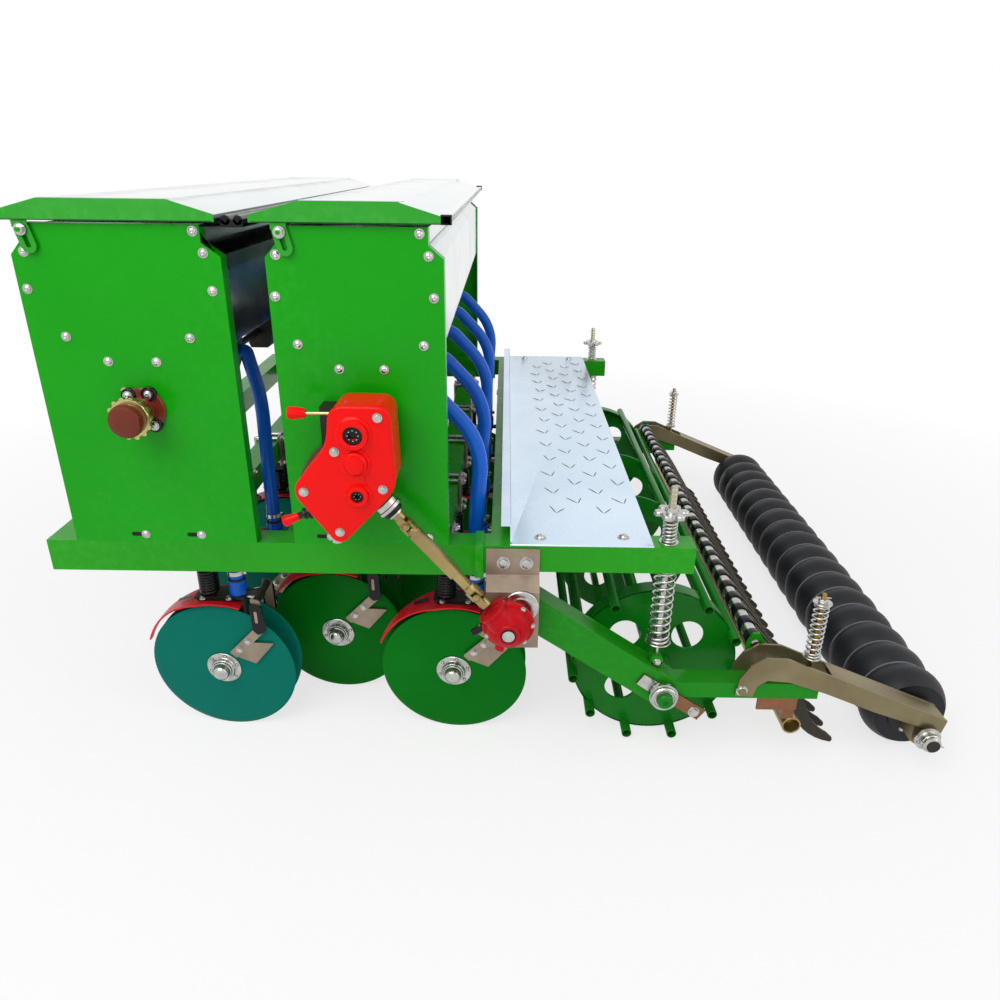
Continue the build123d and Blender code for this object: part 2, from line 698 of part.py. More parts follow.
# ---- roller frame: sloping arms and level tubes ----
along = Vector(math.cos(arm_slope), math.sin(arm_slope), 0)
across = Vector(-along.Y, along.X, 0)
arm_start = Vector(arm_front_x, arm_front_z, 0) + along * 40
arm_stop = Vector(cage_x, cage_z, 0) - along * 40
half_arm = across * (arm_depth / 2)
arm_corners = [((p + s).X, (p + s).Y) for p, s in ((arm_start, half_arm), (arm_stop, half_arm),
                                                   (arm_stop, -half_arm), (arm_start, -half_arm))]
with BuildPart() as roller_frame:
    for outer in (half_span, -beam_inner):
        plate(arm_corners, outer, beam_width)
    for outer in (half_span, -half_span + tube_width):
        plate([(cage_x + 20, tube_top), (tube_end, tube_top), (tube_end, tube_bottom),
               (cage_x + 20, tube_bottom)], outer, tube_width)
    for side in (1, -1):
        ends = sorted((side * (beam_inner - 10), side * (half_span + 10)))
        rod_y(cage_x, cage_z, cage_axle + bearing_clearance, *ends, mode=Mode.SUBTRACT)
        ends = sorted((side * (comb_ends + 4), side * (comb_ends + 12)))
        plate([(comb_x - 24, tube_bottom), (comb_x + 20, tube_bottom), (comb_x + 20, comb_z),
               (comb_x + 8, comb_z + 26), (comb_x - 8, comb_z + 26), (comb_x - 24, comb_z)],
              ends[1], 8)
        ends = sorted((side * (comb_ends + 10), side * (half_span - tube_width + 4)))
        block(comb_x - 22, comb_x + 4, *ends, tube_bottom, tube_bottom + 12)
    rod_y(comb_x, comb_z, comb_shaft_radius, -half_span, half_span, mode=Mode.SUBTRACT)
    rod_y(rear_pivot_x, rear_pivot_z, pivot_radius, -half_span, half_span, mode=Mode.SUBTRACT)
    for y in rod_places:
        block(spring_x - 10, spring_x + 10, y - 6, y + 6, arm_top - 14, clevis_z)
save(roller_frame, "roller_frame")

# ---- zinc plates: gearbox bracket, bearing housings and tensioner plates ----
with BuildPart() as zinc_plates:
    y = half_span
    with BuildSketch(Plane.YZ.offset(-136)) as profile:
        with BuildLine():
            Polyline((y, beam_top - 4), (y + bracket_sheet, beam_top - 4),
                     (y + bracket_sheet, 508), (y + bracket_joggle + bracket_sheet, 486),
                     (y + bracket_joggle + bracket_sheet, 350), (y + bracket_joggle, 350),
                     (y + bracket_joggle, 482), (y, 505), close=True)
        make_face()
    extrude(profile.sketch, amount=112)
    for outer in (half_span + 6, -half_span):
        plate([(cage_x + dx, cage_z + dz) for dx, dz in
               ((46, 52), (62, 26), (-84, -72), (-102, -46))], outer, 6)
    for low, high in ((half_span + 6, half_span + 26), (-half_span - 26, -half_span - 6)):
        rod_y(cage_x, cage_z, 30, low, high)
    rod_y(cage_x, cage_z, cage_axle + bearing_clearance, -half_span - 30, half_span + 30,
          mode=Mode.SUBTRACT)
save(zinc_plates, "zinc_plates")

# ---- spring rods with hand nuts, and the rods of the rear arms ----
rear_rod_y = half_span - tube_width / 2
with BuildPart() as spring_rods:
    for y in rod_places:
        rod_z(spring_x, y, rod_stem, clevis_z, spring_foot + 1)
        rod_z(spring_x, y, rod_radius, spring_foot, hand_nut_z + 60)
        rod_z(spring_x, y, big_coil, spring_foot - 4, spring_foot)
        rod_z(spring_x, y, 14, hand_nut_z - 12, hand_nut_z + 14)
        with Locations((spring_x, y, hand_nut_z)):
            Cylinder(22, 10)
            with PolarLocations(26, 6):
                Cylinder(11, 10)
        block(spring_x - 14, spring_x + 14, y - 14, y + 14, clevis_z, clevis_z + 16)
    for y in (rear_rod_y, -rear_rod_y):
        rod_z(rear_rod_x, y, 6, tube_top, rear_rod_top)
        rod_z(rear_rod_x, y, 12, rear_rod_top - 24, rear_rod_top - 16)
save(spring_rods, "spring_rods")

with BuildPart() as coil_springs:
    for y in rod_places:
        coil(spring_x, y, spring_foot, beam_top - tail_height, big_coil, big_wire, 11)
        coil(spring_x, y, beam_top, hand_nut_z - 12, 13, 2.5, 6)
    for y in (rear_rod_y, -rear_rod_y):
        coil(rear_rod_x, y, rear_rod_top - 160, rear_rod_top - 24, 15, 2.5, 14)
    for y in rod_places:
        rod_z(spring_x, y, rod_radius, 0, hand_nut_z, mode=Mode.SUBTRACT)
    for y in (rear_rod_y, -rear_rod_y):
        rod_z(rear_rod_x, y, 6, 0, rear_rod_top, mode=Mode.SUBTRACT)
save(coil_springs, "coil_springs")

# ---- cage roller ----
bar_circle = cage_radius - cage_bar_radius
with BuildPart() as cage_roller:
    for low in (cage_end_disc - cage_rim_width, -cage_end_disc):
        rod_y(cage_x, cage_z, bar_circle, low, low + cage_rim_width)
    rod_y(cage_x, cage_z, bar_circle - cage_rim_sheet, -half_span, half_span,
          mode=Mode.SUBTRACT)
    for outer in (cage_end_disc, cage_inner_disc, -cage_inner_disc + cage_plate,
                  -cage_end_disc + cage_plate):
        with BuildSketch(side_plane(outer)) as cage_disc:
            with Locations((cage_x, cage_z)):
                Circle(bar_circle)
                with PolarLocations(cage_window_ring, 4, start_angle=45):
                    Circle(cage_window, mode=Mode.SUBTRACT)
        extrude(cage_disc.sketch, amount=cage_plate)
    half_bar = cage_end_disc + cage_peg
    with Locations(Location((cage_x, 0, cage_z), (90, 0, 0))):
        with PolarLocations(bar_circle, cage_bars, start_angle=90):
            Cylinder(cage_bar_radius, 2 * half_bar)
    rod_y(cage_x, cage_z, cage_axle, -half_span - 40, half_span + 40)
    rod_y(cage_x, cage_z, cage_hub, -cage_end_disc - 10, cage_end_disc + 10)
save(cage_roller, "cage_roller")

# ---- comb ----
tine_rows = [tine_span * (i / (tine_count - 1) - 0.5) for i in range(tine_count)]
with BuildPart() as comb_shaft:
    rod_y(comb_x, comb_z, comb_shaft_radius, -comb_ends - 12, comb_ends + 12)
    rod_y(comb_x, comb_z, comb_hub_radius - 6, -comb_ends, comb_ends)
    for y in tine_rows:
        rod_y(comb_x, comb_z, comb_hub_radius, y - tine_seat, y + tine_seat)
save(comb_shaft, "comb_shaft")

tip_x = comb_x - tine_reach
knee_x = comb_bar_x - comb_bar_radius - tine_bar_gap
with BuildPart() as comb_tines:
    for y in tine_rows:
        with BuildSketch(side_plane(y + tine_thickness / 2)) as blade:
            with BuildLine():
                front = ThreePointArc((comb_x + 4, comb_z - comb_hub_radius + 2),
                                      (comb_x - 64, comb_z - 96), (knee_x, comb_bar_z))
                heel = ThreePointArc(front @ 1, (knee_x - 42, comb_bar_z - 78), (tip_x, 2))
                nose = Polyline(heel @ 1, (tip_x - 3, 11), (tip_x + 14, 29))
                toe_back = ThreePointArc(nose @ 1, (knee_x - tine_width - 24, comb_bar_z - 50),
                                         (knee_x - tine_width, comb_bar_z))
                back = ThreePointArc(toe_back @ 1, (comb_x - 100, comb_z - 104),
                                     (comb_x - 16, comb_z - 8))
                Line(back @ 1, front @ 0)
            make_face()
        extrude(blade.sketch, amount=tine_thickness)
    rod_y(comb_x, comb_z, comb_hub_radius, -half_span, half_span, mode=Mode.SUBTRACT)
save(comb_tines, "comb_tines")

with BuildPart() as comb_bar:
    rod_y(comb_bar_x, comb_bar_z, comb_bar_radius, -half_span + 6, half_span - 6)
    rod_y(comb_bar_x, comb_bar_z, comb_bar_radius - 4, half_span - 40, half_span,
          mode=Mode.SUBTRACT)
    rod_y(comb_bar_x, comb_bar_z, comb_bar_radius - 4, -half_span, -half_span + 40,
          mode=Mode.SUBTRACT)
    comb_plate_low = tube_bottom - comb_plate_height
    for low, outward in ((half_span - tube_width, 1), (-half_span, -1)):
        block(comb_bar_x, comb_bar_x + comb_plate_length, low, low + tube_width,
              tube_bottom - 5, tube_bottom)
        block(comb_bar_x, comb_bar_x + 26, low + 8, low + tube_width - 8,
              comb_bar_z + comb_bar_radius - 4, tube_bottom)
        block(comb_bar_x, comb_bar_x + comb_plate_length,
              *sorted((outward * half_span, outward * (half_span - 6))),
              comb_plate_low, tube_bottom)
save(comb_bar, "comb_bar")

# ---- rear arms ----
arm_outline = [(-586, 205), (-592, 250), (-612, 284), (-645, 306), (-695, 304), (-739, 285),
               (-1082, 143), (-1074, 106), (-908, 165), (-790, 214), (-704, 243), (-655, 247),
               (-634, 232), (-627, 203)]
web_outline = [(-800, 259), (-1080, 143), (-1079, 137), (-800, 253)]
with BuildPart() as rear_arms:
    for near in (half_span, -half_span + tube_width):
        plate(arm_outline, near + rear_arm_sheet, rear_arm_sheet, radius=3)
        plate(arm_outline, near - tube_width, rear_arm_sheet, radius=3)
        plate(web_outline, near, tube_width)
        plate([(press_x + 28, 160), (press_x + 28, press_radius - 20),
               (press_x + 12, press_radius - 32), (press_x - 12, press_radius - 32),
               (press_x - 28, press_radius - 20), (press_x - 28, 150)], near, tube_width)
        rod_y(rear_pivot_x, rear_pivot_z, pivot_radius, near - tube_width - 12,
              near + rear_arm_sheet + 8)
    rod_y(press_x, press_radius, press_axle + bearing_clearance, -half_span - 20, half_span + 20,
          mode=Mode.SUBTRACT)
save(rear_arms, "rear_arms")

# ---- rubber roller: domed rings on a core, with its axle ----
ring_width = 2 * press_half / press_rings
with BuildPart() as rubber_roller:
    with BuildSketch(Plane(origin=(press_x, 0, press_radius), x_dir=(0, 1, 0),
                           z_dir=(1, 0, 0))) as half_section:
        with BuildLine():
            start = (-press_half, press_core)
            Line(start, (-press_half, press_radius - press_groove))
            for ring in range(press_rings):
                low = -press_half + ring * ring_width
                ThreePointArc((low, press_radius - press_groove),
                              (low + ring_width / 2, press_radius),
                              (low + ring_width, press_radius - press_groove))
            Line((press_half, press_radius - press_groove), (press_half, press_core))
            Polyline((press_half, press_core), (press_half, 0), (-press_half, 0), start)
        make_face()
    revolve(half_section.sketch, axis=Axis((press_x, 0, press_radius), (0, 1, 0)))
    rod_y(press_x, press_radius, press_axle, -press_end, press_end)
    for low in (half_span + 14, -half_span - 38):
        rod_y(press_x, press_radius, 30, low, low + 24)
save(rubber_roller, "rubber_roller")
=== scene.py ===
import json
import math
import bmesh
import bpy
from mathutils import Matrix, Vector


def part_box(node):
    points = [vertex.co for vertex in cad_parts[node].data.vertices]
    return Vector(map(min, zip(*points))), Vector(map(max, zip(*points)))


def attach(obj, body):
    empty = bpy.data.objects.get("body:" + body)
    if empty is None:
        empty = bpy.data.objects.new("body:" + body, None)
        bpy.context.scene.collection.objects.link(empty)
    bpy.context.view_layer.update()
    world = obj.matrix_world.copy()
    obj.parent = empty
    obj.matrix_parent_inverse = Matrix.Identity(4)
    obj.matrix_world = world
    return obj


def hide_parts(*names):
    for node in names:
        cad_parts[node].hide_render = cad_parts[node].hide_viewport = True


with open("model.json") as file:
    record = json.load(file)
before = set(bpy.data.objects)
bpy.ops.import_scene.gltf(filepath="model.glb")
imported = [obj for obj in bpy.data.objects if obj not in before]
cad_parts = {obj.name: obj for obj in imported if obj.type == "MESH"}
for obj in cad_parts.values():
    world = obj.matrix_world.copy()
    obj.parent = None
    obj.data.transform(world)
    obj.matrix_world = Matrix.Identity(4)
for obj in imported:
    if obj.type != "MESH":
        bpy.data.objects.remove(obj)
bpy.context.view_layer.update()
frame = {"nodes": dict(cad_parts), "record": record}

# places that several pieces share, all read from the frame
beamLow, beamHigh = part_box("main_frame")
walkLow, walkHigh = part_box("walkway")
panelLow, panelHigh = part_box("hopper_panels")
midY = (walkLow.y + walkHigh.y) / 2
halfSpan = (walkHigh.y - walkLow.y) / 2
leftFace = midY + halfSpan
rightFace = midY - halfSpan
beamTop = walkLow.z
alongY = Vector((0, 1, 0))
upward = Vector((0, 0, 1))
print("frame loaded:", len(frame["nodes"]), "nodes")


joints = {joint["child"]: joint for joint in frame["record"]["behaviour"]["joints"]}


def jointPlace(body):
    return Vector(joints[body]["pos_m"])


# small tools for meshes
def turnTo(direction):  # rotation that takes +Z to a direction
    return Vector(direction).to_track_quat("Z", "Y").to_matrix().to_4x4()


def placed(place, direction=(0, 0, 1)):  # puts a shape made upwards from the origin
    return Matrix.Translation(Vector(place)) @ turnTo(direction)


def paint(verts, material):  # gives the faces of these vertices a material
    for face in {f for v in verts for f in v.link_faces}:
        face.material_index = material
    return verts


def addRod(bm, start, end, radius, sides=24, endRadius=None, material=0):
    start, end = Vector(start), Vector(end)
    run = end - start
    made = bmesh.ops.create_cone(bm, cap_ends=True, segments=sides, radius1=radius,
                                 radius2=radius if endRadius is None else endRadius,
                                 depth=run.length, matrix=placed((start + end) / 2, run))
    return paint(made["verts"], material)


def addBlock(bm, low, high, material=0, turn=None):
    low, high = Vector(low), Vector(high)
    place = (Matrix.Translation((low + high) / 2) @ (turn or Matrix())
             @ Matrix.Diagonal((*(high - low), 1)))
    return paint(bmesh.ops.create_cube(bm, size=1, matrix=place)["verts"], material)


def addPlate(bm, outline, yLow, yHigh, material=0, corner=0.0):  # outline of (x, z) points
    face = bm.faces.new([bm.verts.new((x, yLow, z)) for x, z in outline])
    if corner:
        made = bmesh.ops.bevel(bm, geom=list(face.verts), offset=corner, offset_type="OFFSET",
                               affect="VERTICES", segments=6, profile=0.5, material=-1)
        face = made["verts"][0].link_faces[0]
    base = list(face.verts)
    made = bmesh.ops.extrude_face_region(bm, geom=[face])
    moved = [v for v in made["geom"] if isinstance(v, bmesh.types.BMVert)]
    bmesh.ops.translate(bm, verts=moved, vec=(0, yHigh - yLow, 0))
    return paint(base + moved, material)


def arcPoints(start, through, end, steps=8):  # points of an arc, without its start
    start, through, end = Vector(start), Vector(through), Vector(end)
    a, b = through - start, end - start
    twice = 2 * (a.x * b.y - a.y * b.x)
    centre = start + Vector((b.y * a.length_squared - a.y * b.length_squared,
                             a.x * b.length_squared - b.x * a.length_squared)) / twice
    first = start - centre
    whole = math.atan2(first.x * (end - centre).y - first.y * (end - centre).x,
                       first.dot(end - centre))
    return [centre + Matrix.Rotation(whole * step / steps, 2) @ first
            for step in range(1, steps + 1)]


def joinShape(bm, part, places=(Matrix(),), material=None):  # sets a finished small shape
    bmesh.ops.recalc_face_normals(part, faces=part.faces)
    if material is not None:
        paint(part.verts, material)
    mesh = bpy.data.meshes.new("joined")
    part.to_mesh(mesh)
    part.free()
    for place in places:
        copied = mesh.copy()
        copied.transform(place)
        bm.from_mesh(copied)
        bpy.data.meshes.remove(copied)
    bpy.data.meshes.remove(mesh)


def addCopies(bm, build, places):  # one small shape, made once and set at several places
    part = bmesh.new()
    build(part)
    joinShape(bm, part, places)


def addSpin(bm, profile, place=(0, 0, 0), axis=(0, 0, 1), steps=32, material=0):
    # profile of (radius, height along the axis)
    part = bmesh.new()
    verts = [part.verts.new((radius, 0, height)) for radius, height in profile]
    edges = [part.edges.new(pair) for pair in zip(verts, verts[1:])]
    bmesh.ops.spin(part, geom=verts + edges, cent=(0, 0, 0), axis=(0, 0, 1), angle=math.tau,
                   steps=steps, use_merge=True)
    bmesh.ops.remove_doubles(part, verts=part.verts, dist=0.00001)
    joinShape(bm, part, (placed(place, axis),), material)


def addHelix(bm, height, radius, wire, turns, places, sides=8, stepsPerTurn=16, material=0):
    # a coil spring, upwards from its foot, whose end coils are closed
    part = bmesh.new()
    ring = bmesh.ops.create_circle(part, cap_ends=True, segments=sides, radius=wire,
                                   matrix=Matrix.Translation((radius, 0, wire))
                                   @ Matrix.Rotation(math.pi / 2, 4, "X"))["verts"]
    closed = 0.9  # turns at each end that lie on each other
    endRise = 2 * wire * closed
    rises = ((closed, endRise), (turns - 2 * closed, height - 2 * wire - 2 * endRise),
             (closed, endRise))
    geom = ring + list({e for v in ring for e in v.link_edges})
    geom += list({f for v in ring for f in v.link_faces})
    for share, rise in rises:
        steps = max(3, round(share * stepsPerTurn))
        geom = bmesh.ops.spin(part, geom=geom, cent=(0, 0, 0), axis=(0, 0, 1),
                              dvec=(0, 0, rise / steps), angle=math.tau * share,
                              steps=steps, use_merge=False)["geom_last"]
    joinShape(bm, part, places, material)


def hexBolt(size, washer=0, head=0):  # a bolt's head and washer, upwards from its face
    def build(bm):
        sheet = size * 0.16
        addRod(bm, (0, 0, 0), (0, 0, sheet), size * 1.2, 20, size * 1.16, washer)
        addRod(bm, (0, 0, sheet), (0, 0, size * 0.66), size * 0.9, 6, None, head)
        addRod(bm, (0, 0, size * 0.66), (0, 0, size * 0.76), size * 0.86, 6, size * 0.68, head)
    return build


def panBolt(size, washer=0, head=0):
    def build(bm):
        sheet = size * 0.14
        addRod(bm, (0, 0, 0), (0, 0, sheet), size * 1.2, 20, size * 1.16, washer)
        addSpin(bm, [(size * 0.88, sheet), (size * 0.84, size * 0.36), (size * 0.62, size * 0.58),
                     (size * 0.3, size * 0.68), (size * 0.2, size * 0.62), (0, size * 0.6)],
                steps=14, material=head)
    return build


def softenEdges(bm, width, segments=2, angle=38):
    edges = [e for e in bm.edges if len(e.link_faces) == 2
             and e.calc_face_angle(0) > math.radians(angle)]
    if edges:
        bmesh.ops.bevel(bm, geom=edges, offset=width, offset_type="OFFSET", affect="EDGES",
                        segments=segments, profile=0.5, material=-1, clamp_overlap=True)


def finishPiece(bm, name, materials, body="frame", nodes=(), sharp=34,
                recalc=True, weighted=False):
    if recalc:
        bmesh.ops.recalc_face_normals(bm, faces=bm.faces)
    mesh = bpy.data.meshes.new(name)
    bm.to_mesh(mesh)
    bm.free()
    for material in materials:
        mesh.materials.append(look[material])
    mesh.shade_smooth()
    mesh.set_sharp_from_angle(angle=math.radians(sharp))
    piece = bpy.data.objects.new(name, mesh)
    bpy.context.scene.collection.objects.link(piece)
    if weighted:
        modifier = piece.modifiers.new("evenShading", "WEIGHTED_NORMAL")
        modifier.keep_sharp = True
    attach(piece, body)
    if nodes:
        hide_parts(*nodes)
    return piece


def nodeMesh(node):  # merged copy of a node's solid, with its flat faces joined
    bm = bmesh.new()
    bm.from_mesh(frame["nodes"][node].data)
    bmesh.ops.remove_doubles(bm, verts=bm.verts, dist=0.00002)
    bmesh.ops.dissolve_limit(bm, angle_limit=math.radians(0.6), verts=bm.verts, edges=bm.edges)
    for face in bm.faces:
        face.material_index = 0
    return bm


def softened(node, width, materials, segments=2, body="frame", pick=None, angle=38):
    bm = nodeMesh(node)
    softenEdges(bm, width, segments, angle)
    if pick:
        for face in bm.faces:
            face.material_index = pick(face)
    return finishPiece(bm, node + "_finished", materials, body, (node,), recalc=False,
                       weighted=True)


# shader groups
def linear(red, green, blue):  # sRGB 0 to 255 as a linear colour
    values = [c / 255 for c in (red, green, blue)]
    return (*[c / 12.92 if c <= 0.04045 else ((c + 0.055) / 1.055) ** 2.4 for c in values], 1)


def addNode(tree, kind, inputs=None, **settings):
    node = tree.nodes.new(kind)
    for key, value in settings.items():
        setattr(node, key, value)
    for key, value in (inputs or {}).items():
        node.inputs[key].default_value = value
    return node


def newGroup(name, takes, gives):
    group = bpy.data.node_groups.new(name, "ShaderNodeTree")
    kinds = {"value": "NodeSocketFloat", "colour": "NodeSocketColor"}
    for label, kind, value in takes:
        socket = group.interface.new_socket(label, in_out="INPUT", socket_type=kinds[kind])
        socket.default_value = value
    for label, kind in gives:
        group.interface.new_socket(label, in_out="OUTPUT", socket_type=kinds[kind])
    return group, addNode(group, "NodeGroupInput"), addNode(group, "NodeGroupOutput")


def buildDrift():  # slow change from one colour to another over a surface
    group, taken, given = newGroup("colourDrift", [("First", "colour", (1, 1, 1, 1)),
                                                   ("Second", "colour", (0, 0, 0, 1)),
                                                   ("Scale", "value", 4.0),
                                                   ("Contrast", "value", 1.0)],
                                   [("Color", "colour"), ("Mask", "value")])
    place = addNode(group, "ShaderNodeTexCoord")
    noise = addNode(group, "ShaderNodeTexNoise", {"Detail": 4.0, "Roughness": 0.55})
    steep = addNode(group, "ShaderNodeMath", {1: 0.5}, operation="SUBTRACT")
    gain = addNode(group, "ShaderNodeMath", operation="MULTIPLY")
    back = addNode(group, "ShaderNodeMath", {1: 0.5}, operation="ADD", use_clamp=True)
    mix = addNode(group, "ShaderNodeMix", data_type="RGBA")
    link = group.links.new
    link(place.outputs["Object"], noise.inputs["Vector"])
    link(taken.outputs["Scale"], noise.inputs["Scale"])
    link(noise.outputs["Fac"], steep.inputs[0])
    link(steep.outputs[0], gain.inputs[0])
    link(taken.outputs["Contrast"], gain.inputs[1])
    link(gain.outputs[0], back.inputs[0])
    link(back.outputs[0], mix.inputs["Factor"])
    link(taken.outputs["First"], mix.inputs["A"])
    link(taken.outputs["Second"], mix.inputs["B"])
    link(mix.outputs["Result"], given.inputs["Color"])
    link(back.outputs[0], given.inputs["Mask"])
    return group


def buildEdges():  # paler or bare metal along worn edges
    group, taken, given = newGroup("wornEdges", [("Color", "colour", (1, 1, 1, 1)),
                                                 ("Bare", "colour", (0.5, 0.5, 0.5, 1)),
                                                 ("Amount", "value", 0.5)],
                                   [("Color", "colour"), ("Mask", "value")])
    place = addNode(group, "ShaderNodeTexCoord")
    shape = addNode(group, "ShaderNodeNewGeometry")
    noise = addNode(group, "ShaderNodeTexNoise", {"Scale": 60.0, "Detail": 5.0})
    edge = addNode(group, "ShaderNodeMapRange", {"From Min": 0.54, "From Max": 0.62},
                   clamp=True)
    patch = addNode(group, "ShaderNodeMapRange", {"From Min": 0.48, "From Max": 0.62},
                    clamp=True)
    both = addNode(group, "ShaderNodeMath", operation="MULTIPLY")
    share = addNode(group, "ShaderNodeMath", operation="MULTIPLY", use_clamp=True)
    mix = addNode(group, "ShaderNodeMix", data_type="RGBA")
    link = group.links.new
    link(place.outputs["Object"], noise.inputs["Vector"])
    link(shape.outputs["Pointiness"], edge.inputs["Value"])
    link(noise.outputs["Fac"], patch.inputs["Value"])
    link(edge.outputs["Result"], both.inputs[0])
    link(patch.outputs["Result"], both.inputs[1])
    link(both.outputs[0], share.inputs[0])
    link(taken.outputs["Amount"], share.inputs[1])
    link(share.outputs[0], mix.inputs["Factor"])
    link(taken.outputs["Color"], mix.inputs["A"])
    link(taken.outputs["Bare"], mix.inputs["B"])
    link(mix.outputs["Result"], given.inputs["Color"])
    link(share.outputs[0], given.inputs["Mask"])
    return group


def buildDust():  # thin dust that lies on upward faces
    group, taken, given = newGroup("lyingDust", [("Color", "colour", (1, 1, 1, 1)),
                                                 ("Dust", "colour", (0.45, 0.4, 0.33, 1)),
                                                 ("Amount", "value", 0.1)],
                                   [("Color", "colour"), ("Mask", "value")])
    place = addNode(group, "ShaderNodeTexCoord")
    shape = addNode(group, "ShaderNodeNewGeometry")
    split = addNode(group, "ShaderNodeSeparateXYZ")
    noise = addNode(group, "ShaderNodeTexNoise", {"Scale": 9.0, "Detail": 8.0,
                                                  "Roughness": 0.7})
    facing = addNode(group, "ShaderNodeMapRange", {"From Min": 0.1, "From Max": 1.0,
                                                   "To Min": 0.15}, clamp=True)
    patch = addNode(group, "ShaderNodeMapRange", {"From Min": 0.35, "From Max": 0.7},
                    clamp=True)
    both = addNode(group, "ShaderNodeMath", operation="MULTIPLY")
    share = addNode(group, "ShaderNodeMath", operation="MULTIPLY", use_clamp=True)
    mix = addNode(group, "ShaderNodeMix", data_type="RGBA")
    link = group.links.new
    link(place.outputs["Object"], noise.inputs["Vector"])
    link(shape.outputs["Normal"], split.inputs[0])
    link(split.outputs["Z"], facing.inputs["Value"])
    link(noise.outputs["Fac"], patch.inputs["Value"])
    link(facing.outputs["Result"], both.inputs[0])
    link(patch.outputs["Result"], both.inputs[1])
    link(both.outputs[0], share.inputs[0])
    link(taken.outputs["Amount"], share.inputs[1])
    link(share.outputs[0], mix.inputs["Factor"])
    link(taken.outputs["Color"], mix.inputs["A"])
    link(taken.outputs["Dust"], mix.inputs["B"])
    link(mix.outputs["Result"], given.inputs["Color"])
    link(share.outputs[0], given.inputs["Mask"])
    return group


def buildSmudges():  # handled, uneven gloss
    group, taken, given = newGroup("unevenGloss", [("Low", "value", 0.2),
                                                   ("High", "value", 0.4),
                                                   ("Scale", "value", 7.0)],
                                   [("Roughness", "value")])
    place = addNode(group, "ShaderNodeTexCoord")
    noise = addNode(group, "ShaderNodeTexNoise", {"Detail": 6.0, "Roughness": 0.65,
                                                  "Distortion": 0.6})
    reach = addNode(group, "ShaderNodeMapRange", {"From Min": 0.3, "From Max": 0.7}, clamp=True)
    link = group.links.new
    link(place.outputs["Object"], noise.inputs["Vector"])
    link(taken.outputs["Scale"], noise.inputs["Scale"])
    link(noise.outputs["Fac"], reach.inputs["Value"])
    link(taken.outputs["Low"], reach.inputs["To Min"])
    link(taken.outputs["High"], reach.inputs["To Max"])
    link(reach.outputs["Result"], given.inputs["Roughness"])
    return group


def buildSheetWaves():  # shallow waves of bent sheet over fine paint or casting grain
    group, taken, given = newGroup("sheetWaves", [("Wave Scale", "value", 5.0),
                                                  ("Grain Scale", "value", 400.0),
                                                  ("Grain", "value", 0.05),
                                                  ("Along X", "value", 1.0),
                                                  ("Along Y", "value", 1.0),
                                                  ("Along Z", "value", 1.0)],
                                   [("Height", "value")])
    place = addNode(group, "ShaderNodeTexCoord")
    stretch = addNode(group, "ShaderNodeCombineXYZ")
    spread = addNode(group, "ShaderNodeVectorMath", operation="MULTIPLY")
    wave = addNode(group, "ShaderNodeTexNoise", {"Detail": 2.0})
    grain = addNode(group, "ShaderNodeTexNoise", {"Detail": 3.0})
    part = addNode(group, "ShaderNodeMath", operation="MULTIPLY")
    total = addNode(group, "ShaderNodeMath", operation="ADD")
    link = group.links.new
    for axis in "XYZ":
        link(taken.outputs["Along " + axis], stretch.inputs[axis])
    link(place.outputs["Object"], spread.inputs[0])
    link(stretch.outputs[0], spread.inputs[1])
    link(place.outputs["Object"], wave.inputs["Vector"])
    link(spread.outputs[0], grain.inputs["Vector"])
    link(taken.outputs["Wave Scale"], wave.inputs["Scale"])
    link(taken.outputs["Grain Scale"], grain.inputs["Scale"])
    link(grain.outputs["Fac"], part.inputs[0])
    link(taken.outputs["Grain"], part.inputs[1])
    link(wave.outputs["Fac"], total.inputs[0])
    link(part.outputs[0], total.inputs[1])
    link(total.outputs[0], given.inputs["Height"])
    return group


shaderGroups = {"drift": buildDrift(), "edges": buildEdges(), "dust": buildDust(),
                "gloss": buildSmudges(), "waves": buildSheetWaves()}


def useGroup(tree, key, **values):
    node = addNode(tree, "ShaderNodeGroup", node_tree=shaderGroups[key])
    for label, value in values.items():
        node.inputs[label.replace("_", " ")].default_value = value
    return node


